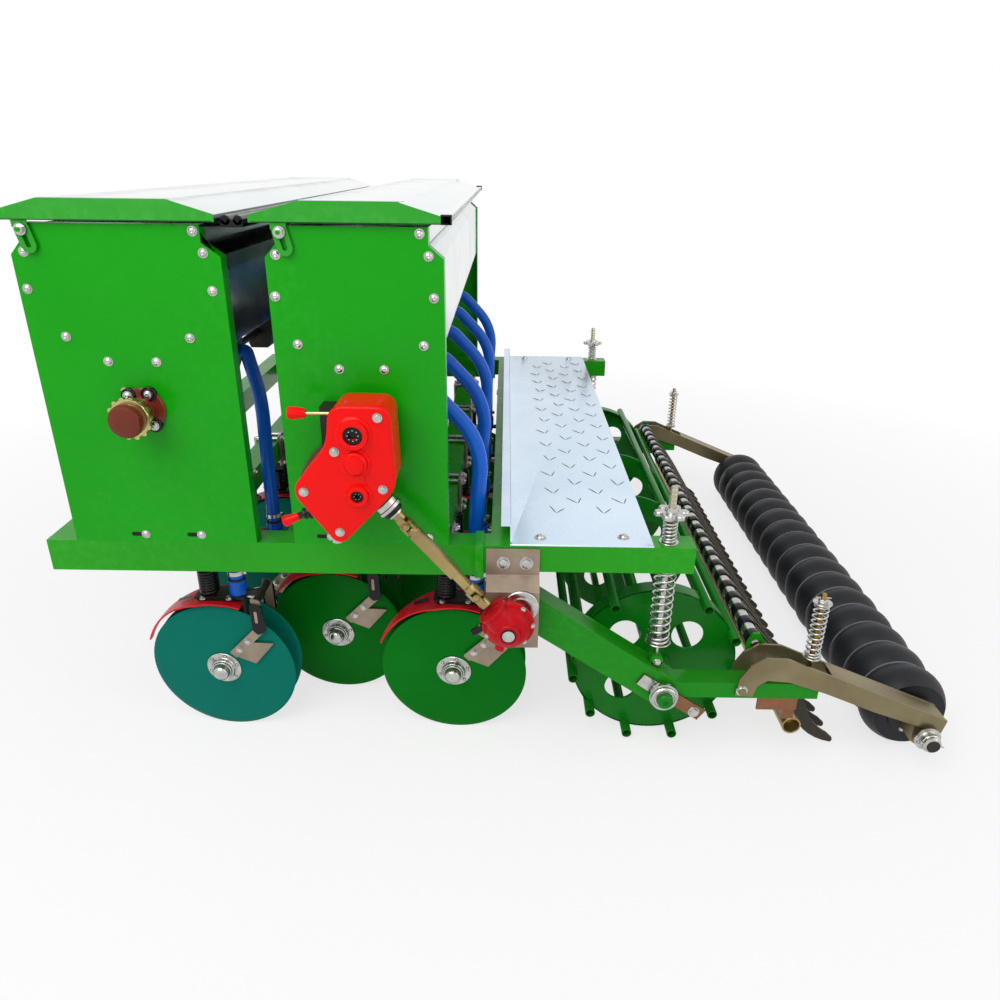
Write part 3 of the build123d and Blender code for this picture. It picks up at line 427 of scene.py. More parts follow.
def makeFinish(name, look):
    material = bpy.data.materials.new(name)
    material.use_nodes = True
    tree = material.node_tree
    link = tree.links.new
    shader = tree.nodes["Principled BSDF"]
    drift = useGroup(tree, "drift", First=linear(*look["colour"]),
                     Second=linear(*look.get("second", look["colour"])),
                     Scale=look.get("driftScale", 3.0), Contrast=look.get("contrast", 2.0))
    edges = useGroup(tree, "edges", Bare=linear(*look.get("bare", look["colour"])),
                     Amount=look.get("wear", 0.1))
    dust = useGroup(tree, "dust", Dust=linear(*look.get("dustColour", (150, 140, 120))),
                    Amount=look.get("dust", 0.12))
    gloss = useGroup(tree, "gloss", Low=look["rough"][0], High=look["rough"][1],
                     Scale=look.get("glossScale", 6.0))
    waves = useGroup(tree, "waves", Wave_Scale=look.get("waveScale", 5.0),
                     Grain_Scale=look.get("grainScale", 500.0), Grain=look.get("grain", 0.03),
                     Along_X=look.get("stretch", (1, 1, 1))[0],
                     Along_Y=look.get("stretch", (1, 1, 1))[1],
                     Along_Z=look.get("stretch", (1, 1, 1))[2])
    bump = addNode(tree, "ShaderNodeBump", {"Strength": look.get("bump", 0.3),
                                            "Distance": look.get("depth", 0.002)})
    if "thread" in look:  # turns of a screw thread per metre, along Z
        place = addNode(tree, "ShaderNodeTexCoord")
        turns = addNode(tree, "ShaderNodeTexWave", {"Scale": look["thread"] / 20},
                        bands_direction="Z")
        groove = addNode(tree, "ShaderNodeBump", {"Strength": 0.8, "Distance": 0.0006})
        link(place.outputs["Object"], turns.inputs["Vector"])
        link(turns.outputs["Fac"], groove.inputs["Height"])
        link(groove.outputs["Normal"], bump.inputs["Normal"])
    link(drift.outputs["Color"], edges.inputs["Color"])
    link(edges.outputs["Color"], dust.inputs["Color"])
    link(dust.outputs["Color"], shader.inputs["Base Color"])
    link(gloss.outputs["Roughness"], shader.inputs["Roughness"])
    link(waves.outputs["Height"], bump.inputs["Height"])
    link(bump.outputs["Normal"], shader.inputs["Normal"])
    shader.inputs["Metallic"].default_value = look.get("metal", 0.0)
    shader.inputs["Coat Weight"].default_value = look.get("coat", 0.0)
    shader.inputs["Coat Roughness"].default_value = look.get("coatRough", 0.06)
    shader.inputs["Specular IOR Level"].default_value = look.get("specular", 0.16)
    return material


finishes = {
    "greenPaint": {"colour": (6, 150, 4), "second": (14, 158, 10), "rough": (0.2, 0.32),
                   "bare": (70, 180, 60), "wear": 0.3, "depth": 0.004, "coat": 0.06,
                   "waveScale": 3.2, "grain": 0.004, "dust": 0.05},
    "beamGreen": {"colour": (34, 158, 14), "second": (26, 146, 12), "rough": (0.22, 0.34),
                  "bare": (110, 200, 96), "wear": 0.3, "depth": 0.003, "coat": 0.08,
                  "grain": 0.006, "dust": 0.06},
    "frameGreen": {"colour": (10, 128, 6), "second": (16, 138, 10), "rough": (0.24, 0.36),
                   "bare": (90, 180, 80), "wear": 0.3, "depth": 0.003, "coat": 0.06,
                   "grain": 0.006, "dust": 0.06},
    "cageGreen": {"colour": (2, 110, 14), "second": (6, 122, 20), "rough": (0.22, 0.34),
                  "depth": 0.003, "coat": 0.06, "grain": 0.006, "dust": 0.03, "wear": 0.0},
    "lidGreen": {"colour": (38, 150, 36), "second": (50, 160, 48), "rough": (0.24, 0.36),
                 "bare": (110, 200, 100), "wear": 0.3, "depth": 0.003, "coat": 0.1,
                 "grain": 0.006, "dust": 0.05},
    "discTeal": {"colour": (0, 108, 94), "second": (0, 118, 102), "rough": (0.26, 0.38),
                 "grain": 0.01, "dust": 0.02, "specular": 0.06},
    "discGreen": {"colour": (0, 108, 18), "second": (0, 120, 24), "rough": (0.26, 0.38),
                  "grain": 0.01, "dust": 0.02, "specular": 0.06},
    "redPaint": {"colour": (232, 0, 0), "second": (240, 2, 0), "rough": (0.24, 0.36),
                 "coat": 0.05, "grain": 0.02, "grainScale": 260.0, "dust": 0.03,
                 "bare": (240, 60, 50)},
    "castRed": {"colour": (172, 0, 16), "second": (194, 2, 24), "rough": (0.28, 0.42),
                "coat": 0.06, "grain": 0.16, "grainScale": 180.0, "bump": 0.6,
                "bare": (214, 70, 84), "dust": 0.03, "specular": 0.1},
    "guardRed": {"colour": (214, 12, 26), "second": (228, 28, 40), "rough": (0.26, 0.38),
                 "coat": 0.06, "bare": (240, 110, 110), "wear": 0.4, "dust": 0.06},
    "stainless": {"colour": (214, 220, 220), "second": (196, 206, 206), "metal": 1.0,
                  "rough": (0.10, 0.2), "waveScale": 4.0, "depth": 0.004, "grain": 0.004,
                  "grainScale": 90.0, "stretch": (1, 14, 14), "dust": 0.05},
    "treadMetal": {"colour": (226, 240, 252), "second": (208, 226, 244), "metal": 0.8,
                   "rough": (0.22, 0.36), "grain": 0.03, "grainScale": 60.0,
                   "stretch": (1, 12, 1), "dust": 0.02, "depth": 0.002},
    "zinc": {"colour": (206, 206, 202), "second": (164, 164, 160), "metal": 1.0,
             "rough": (0.16, 0.34), "driftScale": 60.0, "grain": 0.03, "dust": 0.08},
    "satinZinc": {"colour": (168, 152, 134), "second": (132, 118, 102), "metal": 0.75,
                  "rough": (0.3, 0.44), "driftScale": 16.0, "dust": 0.08, "wear": 0.0},
    "yellowZinc": {"colour": (146, 136, 104), "second": (120, 108, 80), "metal": 0.75,
                   "rough": (0.3, 0.44), "driftScale": 9.0, "grain": 0.02, "dust": 0.08,
                   "bare": (206, 198, 168), "wear": 0.15},
    "brassZinc": {"colour": (176, 156, 104), "second": (146, 126, 84), "metal": 0.9,
                  "rough": (0.26, 0.4), "driftScale": 14.0, "dust": 0.06, "wear": 0.0},
    "copperPlate": {"colour": (148, 102, 74), "second": (122, 84, 62), "metal": 0.8,
                    "rough": (0.26, 0.4), "driftScale": 20.0, "dust": 0.06, "wear": 0.0},
    "blackGloss": {"colour": (8, 8, 10), "second": (16, 16, 18), "rough": (0.16, 0.3),
                   "coat": 0.2, "dust": 0.03},
    "darkSteel": {"colour": (66, 62, 58), "second": (42, 40, 38), "metal": 0.7,
                  "rough": (0.34, 0.5), "grain": 0.05, "dust": 0.14},
    "blueHose": {"colour": (8, 92, 206), "second": (14, 104, 218), "rough": (0.2, 0.32),
                 "coat": 0.15, "grain": 0.004, "dust": 0.02},
    "rubber": {"colour": (15, 16, 20), "second": (23, 24, 30), "rough": (0.4, 0.55),
               "grain": 0.05, "grainScale": 300.0, "dust": 0.05, "depth": 0.001,
               "dustColour": (70, 74, 82), "specular": 0.3},
    "brownCap": {"colour": (96, 30, 14), "second": (118, 46, 26), "rough": (0.2, 0.34),
                 "coat": 0.3, "dust": 0.04},
    "mirrorSheet": {"colour": (226, 236, 236), "second": (214, 226, 226), "metal": 1.0,
                    "rough": (0.05, 0.12), "waveScale": 3.0, "depth": 0.006, "grain": 0.001,
                    "dust": 0.03},
    "paleCream": {"colour": (206, 202, 150), "second": (190, 186, 130), "rough": (0.3, 0.4)},
    "threaded": {"colour": (196, 190, 170), "second": (156, 146, 118), "metal": 1.0,
                 "rough": (0.22, 0.36), "thread": 640, "dust": 0.06},
    "brassThread": {"colour": (172, 140, 78), "second": (140, 112, 66), "metal": 1.0,
                    "rough": (0.26, 0.4), "thread": 640, "dust": 0.06},
    "treadMark": {"colour": (92, 98, 108), "second": (70, 76, 86), "metal": 0.6,
                  "rough": (0.3, 0.42), "dust": 0.02},
    "paleSteel": {"colour": (158, 152, 140), "second": (118, 112, 100), "metal": 0.9,
                  "rough": (0.3, 0.46), "dust": 0.1},
    "bladeSteel": {"colour": (78, 72, 64), "second": (54, 50, 46), "metal": 0.5,
                   "rough": (0.34, 0.5), "dust": 0.1},
    # painted highlight: paler copy of the blade steel, given to the blade's edge faces
    "bladeEdgeHighlight": {"colour": (128, 120, 106), "second": (92, 86, 76), "metal": 0.7,
                  "rough": (0.3, 0.46), "dust": 0.1},
    "guardBrown": {"colour": (104, 92, 74), "second": (84, 74, 60), "metal": 0.4,
                   "rough": (0.4, 0.55), "dust": 0.1},
    "jointGrey": {"colour": (150, 156, 164), "second": (116, 122, 132), "rough": (0.5, 0.6),
                  "dust": 0.02},
    "brass": {"colour": (206, 194, 136), "second": (180, 164, 110), "metal": 1.0,
              "rough": (0.2, 0.34), "dust": 0.02},
}
look = {name: makeFinish(name, values) for name, values in finishes.items()}
print("finishes made:", len(look))
# floor, light and camera
studio = {"floorSize": 60.0, "floorShade": 0.92, "fadeFrom": 1.3, "fadeTo": 3.2, "seenWhite": 0.72,
          "worldLight": 0.48, "keyPower": 150.0, "keyPlace": (1.6, 3.4, 4.2), "keySize": 3.5,
          "fillPower": 50.0, "fillPlace": (-4.5, 2.5, 3.0), "fillSize": 4.0,
          "cameraPlace": (0.006, 2.2387, 1.3066), "yaw": -0.25, "pitch": 23.64, "roll": 0.67,
          "lens": 27.91}


def addSeenDirectly(tree):  # 1 for rays from the camera, from gloss and through glass
    path = addNode(tree, "ShaderNodeLightPath")
    either = addNode(tree, "ShaderNodeMath", operation="MAXIMUM")
    seen = addNode(tree, "ShaderNodeMath", operation="MAXIMUM")
    tree.links.new(path.outputs["Is Camera Ray"], either.inputs[0])
    tree.links.new(path.outputs["Is Glossy Ray"], either.inputs[1])
    tree.links.new(either.outputs[0], seen.inputs[0])
    tree.links.new(path.outputs["Is Transmission Ray"], seen.inputs[1])
    return seen


def makeFloorPaint():  # pale, and plain white where it runs out to the background
    pale = bpy.data.materials.new("paleFloor")
    pale.use_nodes = True
    tree = pale.node_tree
    link = tree.links.new
    shader = tree.nodes["Principled BSDF"]
    shader.inputs["Base Color"].default_value = (*[studio["floorShade"]] * 3, 1)
    shader.inputs["Roughness"].default_value = 0.9
    shader.inputs["Specular IOR Level"].default_value = 0.1
    seen = addSeenDirectly(tree)
    place = addNode(tree, "ShaderNodeTexCoord")
    away = addNode(tree, "ShaderNodeVectorMath", operation="LENGTH")
    fade = addNode(tree, "ShaderNodeMapRange", {"From Min": studio["fadeFrom"],
                                                "From Max": studio["fadeTo"],
                                                "To Min": studio["seenWhite"]}, clamp=True)
    share = addNode(tree, "ShaderNodeMath", operation="MULTIPLY")
    white = addNode(tree, "ShaderNodeEmission", {"Strength": 1.0})
    mix = addNode(tree, "ShaderNodeMixShader")
    link(place.outputs["Object"], away.inputs[0])
    link(away.outputs["Value"], fade.inputs["Value"])
    link(fade.outputs["Result"], share.inputs[0])
    link(seen.outputs[0], share.inputs[1])
    link(share.outputs[0], mix.inputs["Fac"])
    link(shader.outputs[0], mix.inputs[1])
    link(white.outputs[0], mix.inputs[2])
    link(mix.outputs[0], tree.nodes["Material Output"].inputs["Surface"])
    return pale


def buildStudio():
    bm = bmesh.new()
    bmesh.ops.create_grid(bm, x_segments=1, y_segments=1, size=studio["floorSize"] / 2)
    mesh = bpy.data.meshes.new("floor")
    bm.to_mesh(mesh)
    bm.free()
    mesh.materials.append(makeFloorPaint())
    floor = bpy.data.objects.new("floor", mesh)
    bpy.context.scene.collection.objects.link(floor)

    world = bpy.data.worlds.new("studio")
    bpy.context.scene.world = world
    world.use_nodes = True
    tree = world.node_tree
    background = tree.nodes["Background"]
    seen = addSeenDirectly(tree)
    strength = addNode(tree, "ShaderNodeMapRange", {"To Min": studio["worldLight"], "To Max": 1.0})
    tree.links.new(seen.outputs[0], strength.inputs["Value"])
    tree.links.new(strength.outputs["Result"], background.inputs["Strength"])
    background.inputs["Color"].default_value = (1, 1, 1, 1)

    for name in ("key", "fill"):
        data = bpy.data.lights.new(name, "AREA")
        data.energy = studio[name + "Power"]
        data.size = studio[name + "Size"]
        lamp = bpy.data.objects.new(name, data)
        lamp.location = studio[name + "Place"]
        aim = Vector((0, 0, 0.5)) - lamp.location
        lamp.rotation_euler = aim.to_track_quat("-Z", "Y").to_euler()
        bpy.context.scene.collection.objects.link(lamp)

    data = bpy.data.cameras.new("camera")
    data.sensor_width = 36.0
    data.lens = studio["lens"]
    camera = bpy.data.objects.new("camera", data)
    yaw, pitch, roll = (math.radians(studio[k]) for k in ("yaw", "pitch", "roll"))
    camera.matrix_world = (Matrix.Translation(studio["cameraPlace"])
                           @ Matrix.Rotation(math.pi - yaw, 4, "Z")
                           @ Matrix.Rotation(math.pi / 2 - pitch, 4, "X")
                           @ Matrix.Rotation(roll, 4, "Z"))
    bpy.context.scene.collection.objects.link(camera)
    bpy.context.scene.camera = camera
    bpy.context.scene.view_settings.view_transform = "Standard"


buildStudio()
print("studio ready")

# structure: solids kept in form, with rounded edges
structure = (  # node, edge width, finish, record slot
    ("main_frame", 0.004, "beamGreen", "frame_green"),
    ("hitch", 0.002, "beamGreen", "frame_green"),
    ("hopper_panels", 0.0016, "greenPaint", "green_paint"),
    ("roller_frame", 0.0035, "frameGreen", "green_paint"),
    ("front_bin", 0.0006, "stainless", "stainless"),
    ("rear_bin", 0.0006, "stainless", "stainless"),
    ("seed_meters", 0.0030, "darkSteel", "dark_steel"),
    ("opener_legs", 0.0012, "darkSteel", "dark_steel"),
    ("disc_guards", 0.0012, "guardRed", "guard_red"),
    ("rear_arms", 0.0014, "yellowZinc", "yellow_zinc"),
)
for node, width, finish, slot in structure:
    softened(node, width, (finish,))
for index in range(len(frame["nodes"]["hoses"].data.materials)):
    frame["nodes"]["hoses"].data.materials[index] = look["blueHose"]
print("structure done")

# end panels of the hoppers: bolts as (behind the front edge, above the beam)
rearBinLow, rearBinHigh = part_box("rear_bin")
panels = {
    "frontEdges": (panelHigh.x, rearBinHigh.x + 0.004),
    "bolts": (((0.024, 0.576), (0.016, 0.511), (0.068, 0.425), (0.138, 0.379),
               (0.229, 0.379), (0.299, 0.425), (0.353, 0.511), (0.345, 0.577),
               (0.331, 0.614), (0.147, 0.017), (0.262, 0.017)),
              ((0.020, 0.576), (0.012, 0.503), (0.045, 0.416), (0.119, 0.370),
               (0.204, 0.370), (0.280, 0.416), (0.301, 0.503), (0.293, 0.576),
               (0.278, 0.614), (0.077, 0.017), (0.279, 0.017))),
    "boltSize": 0.0078,
    "slotLength": 0.030, "slotWidth": 0.009,
}


def buildPanelBolts():
    bm = bmesh.new()
    places = []
    for front, bolts in zip(panels["frontEdges"], panels["bolts"]):
        for behind, above in bolts:
            for face, out in ((leftFace, alongY), (rightFace, -alongY)):
                places.append(placed((front - behind, face, beamTop + above), out))
    addCopies(bm, panBolt(panels["boltSize"], 0, 0), places)
    # adjusting slots ahead of the lowest bolts: thin black plates on the panel faces, painted shade
    # for their dark openings
    for front, bolts in zip(panels["frontEdges"], panels["bolts"]):
        for behind, above in bolts[-2:]:
            x, z = front - behind, beamTop + above
            low = x + panels["slotWidth"] / 2
            high = x + panels["slotLength"]
            for face in (leftFace - 0.0006, rightFace - 0.0002):
                half = panels["slotWidth"] / 2
                addPlate(bm, [(low, z - half), (high, z - half), (high, z + half),
                              (low, z + half)], face, face + 0.0008, 1, half * 0.98)
    finishPiece(bm, "panel_bolts", ("zinc", "blackGloss"))


buildPanelBolts()

# lids: bright sheet with green end plates, slotted ears and their bolts
lids = {"boltSize": 0.0092, "shadeSeam": 0.0014, "trimRibs": 5, "hemWidth": 0.010,
        "knuckle": 0.0085, "knuckleLength": 0.075}


def pickLid(face):  # green end plates and ears, bright sheet between them
    return 0 if abs(face.calc_center_median().y - midY) > halfSpan + 0.0005 else 1


def buildLid(name):
    softened(name, 0.0012, ("lidGreen", "mirrorSheet"), body=name, pick=pickLid)
    low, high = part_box(name)
    hinge = jointPlace(name)
    bm = bmesh.new()
    lidFoot = panelHigh.z + 0.005
    for side, outward in ((1, alongY), (-1, -alongY)):
        edge = midY + side * (halfSpan + 0.010)
        # painted shade: a thin black strip where the end plate turns under, for the dark line where
        # the lid rests on the panel
        addBlock(bm, (low.x + 0.004, edge - 0.0006, lidFoot + 0.0005),
                 (high.x - 0.004, edge + 0.0006, lidFoot + 0.0005 + lids["shadeSeam"]), 0)
        # welded hem of the sheet over the end plate
        addBlock(bm, (low.x + 0.080, edge - side * 0.012 - 0.005, high.z - 0.0008),
                 (high.x - 0.090, edge - side * 0.012 + 0.005, high.z + 0.0008), 1)
    if name == "rear_lid":  # ribbed strip along the rear edge, with a black end
        for rib in range(lids["trimRibs"]):
            z = lidFoot + 0.002 + rib * 0.0026
            addBlock(bm, (low.x - 0.0012, low.y + 0.012, z),
                     (low.x + 0.002, high.y - 0.012, z + 0.0013), 2)
        for end in (low.y, high.y - 0.013):
            addBlock(bm, (low.x - 0.002, end, lidFoot - 0.0005),
                     (low.x + 0.018, end + 0.013, lidFoot + 0.0165), 0)
    softenEdges(bm, 0.0006, 1)
    finishPiece(bm, name + "_trim", ("blackGloss", "mirrorSheet", "zinc"), name)
    bolts = bmesh.new()
    ear = halfSpan + 0.011
    addCopies(bolts, hexBolt(lids["boltSize"]),
              [placed((hinge.x, midY + side * ear, hinge.z), alongY * side)
               for side in (1, -1)])
    finishPiece(bolts, name + "_hinge_bolts", ("zinc",))


for name in ("front_lid", "rear_lid"):
    buildLid(name)


def buildGapShade():  # black strip between the lids, painted shade for the dark gap between the hoppers, rolled into knuckles at its corners
    low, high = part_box("gap_strip")
    bm = nodeMesh("gap_strip")
    softenEdges(bm, 0.0015)
    radius = lids["knuckle"]
    centres = (low.x + radius, low.x + 0.039 - radius)
    for x in centres:
        y = low.y
        while y < high.y - 0.02:
            stop = min(y + lids["knuckleLength"] - 0.0012, high.y)
            addRod(bm, (x, y, high.z - 0.002), (x, stop, high.z - 0.002), radius, 16)
            y += lids["knuckleLength"]
        for end, out in ((low.y, -1), (high.y, 1)):
            addRod(bm, (x, end, high.z - 0.002), (x, end + out * 0.002, high.z - 0.002),
                   radius * 0.4, 12)
    finishPiece(bm, "gap_strip_finished", ("blackGloss",), nodes=("gap_strip",),
                recalc=False)


buildGapShade()
print("hoppers done")

# walkway: bright plate with raised bird-foot marks
walkway = {"markPitch": (0.107, 0.112), "markWidth": 0.0030, "markRise": 0.0010,
           "strokes": ((-64, 0.045), (-119, 0.036)), "border": 0.034, "firstMark": 0.14,
           "boltSize": 0.011, "bolts": ((0.241, 0.040), (0.064, 0.033)),
           "lipRise": 0.038, "foldWidth": 0.019, "foldSheet": 0.002, "foldInset": 0.020}


def addTreadMark(bm):  # two strokes from one heel
    for turn, length in walkway["strokes"]:
        place = (Matrix.Rotation(math.radians(turn), 4, "Z")
                 @ Matrix.Translation((length / 2, 0, 0))
                 @ Matrix.Diagonal((length / 2, walkway["markWidth"] / 2,
                                    walkway["markRise"], 1)))
        bmesh.ops.create_uvsphere(bm, u_segments=8, v_segments=4, radius=1, matrix=place)


def buildWalkway():
    bm = nodeMesh("walkway")
    softenEdges(bm, 0.0012)
    top = beamTop + 0.004
    across, along = walkway["markPitch"]
    places = []
    row = 0
    y = walkLow.y + walkway["firstMark"]
    while y < walkHigh.y - walkway["firstMark"]:
        x = walkLow.x + walkway["border"] + (row % 2) * across / 2
        while x < walkHigh.x - walkway["border"] - 0.02:
            turn = (12, -8, 4)[row % 3]
            places.append(Matrix.Translation((x, y, top))
                          @ Matrix.Rotation(math.radians(turn), 4, "Z"))
            x += across
        y += along / 2
        row += 1
    marks = bmesh.new()
    addCopies(marks, addTreadMark, places)
    finishPiece(marks, "tread_marks", ("treadMark",))
    for index, (behind, inside) in enumerate(walkway["bolts"]):
        for edge, side in ((walkHigh.y, -1), (walkLow.y, 1)):
            place = (walkHigh.x - behind, edge + side * inside, top)
            addCopies(bm, panBolt(walkway["boltSize"], 1, 1), [placed(place)])
    # fold along the top of the upright lip
    lipTop = beamTop + walkway["lipRise"]
    addBlock(bm, (walkHigh.x - 0.002, walkLow.y + walkway["foldInset"],
                  lipTop - walkway["foldSheet"]),
             (walkHigh.x + walkway["foldWidth"], walkHigh.y - walkway["foldInset"], lipTop))
    finishPiece(bm, "walkway_finished", ("treadMetal", "zinc"), nodes=("walkway",),
                recalc=False)


buildWalkway()
print("walkway done")
# stepless gearbox on the left side, set out from its lowest point
gearbox = {
    "foot": Vector((rearBinHigh.x + 0.004 - 0.132, leftFace, beamTop + 0.060)),
    "outline": ((0.011, 0.274), (-0.097, 0.274), (-0.102, 0.117), (0.008, 0), (0.091, 0.114),
                (0.020, 0.200)),
    "back": 0.030, "depth": 0.088, "cover": 0.012, "corner": 0.024,
    "bolts": ((-0.076, 0.256), (0.005, 0.191), (0.067, 0.112), (-0.079, 0.119),
              (0.006, 0.031)),
    "boltSize": 0.0076,
    # boss places: splined ring, dome and lower ring
    "top": (-0.032, 0.225), "dome": (-0.032, 0.170), "low": (-0.033, 0.108),
    "chainCase": ((0.030, 0.186), (0.052, 0.168), (0.078, 0.142), (0.099, 0.104),
                  (0.085, 0.085), (-0.080, 0.085), (-0.080, 0.186)),
}


def buildGearboxBody():
    foot, cover = gearbox["foot"], gearbox["cover"]
    outline = [(foot.x + x, foot.z + z) for x, z in gearbox["outline"]]
    middle = Vector((sum(x for x, z in outline) / 6, sum(z for x, z in outline) / 6))
    grown = [(middle.x + (x - middle.x) * 1.018, middle.y + (z - middle.y) * 1.018)
             for x, z in outline]
    back = foot.y + gearbox["back"]
    face = back + gearbox["depth"] + cover
    bm = bmesh.new()
    addPlate(bm, outline, back, face - cover - 0.001, 0, gearbox["corner"])
    addPlate(bm, grown, face - cover, face, 0, gearbox["corner"])
    softenEdges(bm, 0.0055, 4, 50)
    # dark seam between body and cover
    addPlate(bm, outline, face - cover - 0.002, face - cover + 0.001, 1, gearbox["corner"])

    def bossAt(boss):
        x, z = gearbox[boss]
        return Vector((foot.x + x, face, foot.z + z))
    # raised rings with their shaft ends
    ringed = [(0.034, -0.002), (0.033, 0.002), (0.0285, 0.0045), (0.0275, 0.011),
              (0.0255, 0.0135), (0.0185, 0.0135), (0.0175, 0.0125), (0.0170, 0.002)]
    addSpin(bm, ringed, bossAt("top"), alongY, 40, 0)
    domed = [(0.030, -0.002), (0.028, 0.0015), (0.0235, 0.003), (0.022, 0.009),
             (0.018, 0.0125), (0.0165, 0.0165), (0.010, 0.0185), (0, 0.0188)]
    addSpin(bm, domed, bossAt("dome"), alongY, 36, 0)
    low = [(0.027, -0.002), (0.026, 0.0015), (0.0215, 0.003), (0.0205, 0.011), (0.0185, 0.0135),
           (0.0125, 0.0135), (0.0115, 0.0120), (0.0110, 0.002)]
    addSpin(bm, low, bossAt("low"), alongY, 36, 0)
    # joining rib between the rings
    addBlock(bm, bossAt("low") - Vector((0.014, 0.002, -0.008)),
             bossAt("top") + Vector((0.014, 0.0030, -0.008)), 0)
    for boss, outer, inner, teeth in (("top", 0.0168, 0.0105, 8), ("low", 0.0108, 0.0062, 6)):
        centre = bossAt(boss)
        addSpin(bm, [(outer, 0.001), (outer, 0.0095), (outer * 0.80, 0.0105),
                     (inner, 0.0100), (inner, 0.0005), (0, 0.0005)], centre, alongY, 32, 1)
        for tooth in range(teeth):  # splines of the shaft end
            turn = math.tau * tooth / teeth
            spot = centre + Vector((math.cos(turn), 0, math.sin(turn))) * inner
            addRod(bm, spot + alongY * 0.001, spot + alongY * 0.0098, outer * 0.11, 8, None, 2)
    addCopies(bm, hexBolt(gearbox["boltSize"], 3, 3),
              [placed((foot.x + x, face, foot.z + z), alongY) for x, z in gearbox["bolts"]])
    # drain plug under the lowest point
    addRod(bm, (foot.x + 0.016, face - 0.018, foot.z + 0.024),
           (foot.x + 0.016, face - 0.018, foot.z + 0.002), 0.0095, 6, None, 3)
    # chain case behind the body, and the block that carries the box on the panel
    addPlate(bm, [(foot.x + x, foot.z + z) for x, z in gearbox["chainCase"]], foot.y + 0.012,
             foot.y + 0.037, 4, 0.010)
    addBlock(bm, (foot.x - 0.082, foot.y, foot.z + 0.127),
             (foot.x + 0.048, foot.y + 0.040, foot.z + 0.247), 5)
    finishPiece(bm, "gearbox_finished",
                ("redPaint", "blackGloss", "zinc", "zinc", "guardBrown", "darkSteel"),
                nodes=("gearbox",))


def buildGearboxLevers():
    foot = gearbox["foot"]
    y = foot.y + gearbox["back"] + 0.055
    bm = bmesh.new()
    top = Vector((foot.x, y, foot.z + 0.249))
    ahead = Vector((1, 0, 0))
    addRod(bm, top, top + ahead * 0.066, 0.0032, 14, None, 0)
    knob = [(0, 0), (0.0072, 0.0), (0.0080, 0.003), (0.0092, 0.014), (0.0106, 0.024),
            (0.0112, 0.030), (0.0100, 0.0325), (0, 0.033)]
    addSpin(bm, knob, top + ahead * 0.062, ahead, 28, 1)
    for flute in range(10):  # ribs of the knob
        turn = math.tau * flute / 10
        side = Vector((0, math.cos(turn), math.sin(turn)))
        addRod(bm, top + ahead * 0.066 + side * 0.0082, top + ahead * 0.091 + side * 0.0108,
               0.0016, 6, None, 1)
    # lower lever in its bellows
    root = Vector((foot.x + 0.052, y, foot.z + 0.060))
    down = Vector((0.92, 0, -0.39)).normalized()
    bellows = [(0.0210, -0.012), (0.0215, 0.0)]
    for fold in range(4):
        radius = 0.0205 - 0.0030 * fold
        bellows += [(radius, 0.004 + fold * 0.009), (radius - 0.0042, 0.009 + fold * 0.009)]
    addSpin(bm, bellows + [(0.0065, 0.042), (0, 0.042)], root, down, 28, 2)
    addRod(bm, root + down * 0.036, root + down * 0.052, 0.0040, 12, None, 0)
    addSpin(bm, knob, root + down * 0.044, down, 28, 1)
    finishPiece(bm, "gearbox_levers", ("brass", "redPaint", "blackGloss"))


buildGearboxBody()
buildGearboxLevers()

# universal shaft from the gearbox down to the bevel box
bevelLow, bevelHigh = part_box("bevel_gearbox")
bevel = {"centre": Vector((bevelLow.x + 0.050, leftFace + 0.040, bevelLow.z + 0.050)),
         "axle": 0.020, "reach": Vector((0.044, 0.034, 0.050))}
driveShaft = {"start": gearbox["foot"] + Vector((-0.092, 0.062, 0.038)),
              "end": bevel["centre"] + Vector((0.046, 0.034, 0.052)),
              "outer": 0.0115, "inner": 0.0088, "yoke": 0.82}


def addYoke(bm):  # hub and two ears, upwards from its foot
    addRod(bm, (0, 0, 0), (0, 0, 0.016), 0.0150, 28)
    addRod(bm, (0, 0, 0.014), (0, 0, 0.020), 0.0150, 28, 0.0110)
    for side in (1, -1):
        addBlock(bm, (side * 0.0125 - 0.0035, -0.0095, 0.010),
                 (side * 0.0125 + 0.0035, 0.0095, 0.034))
        addRod(bm, (side * 0.009, 0, 0.034), (side * 0.016, 0, 0.034), 0.0098, 20)
        addRod(bm, (side * 0.016, 0, 0.034), (side * 0.0172, 0, 0.034), 0.0062, 16)


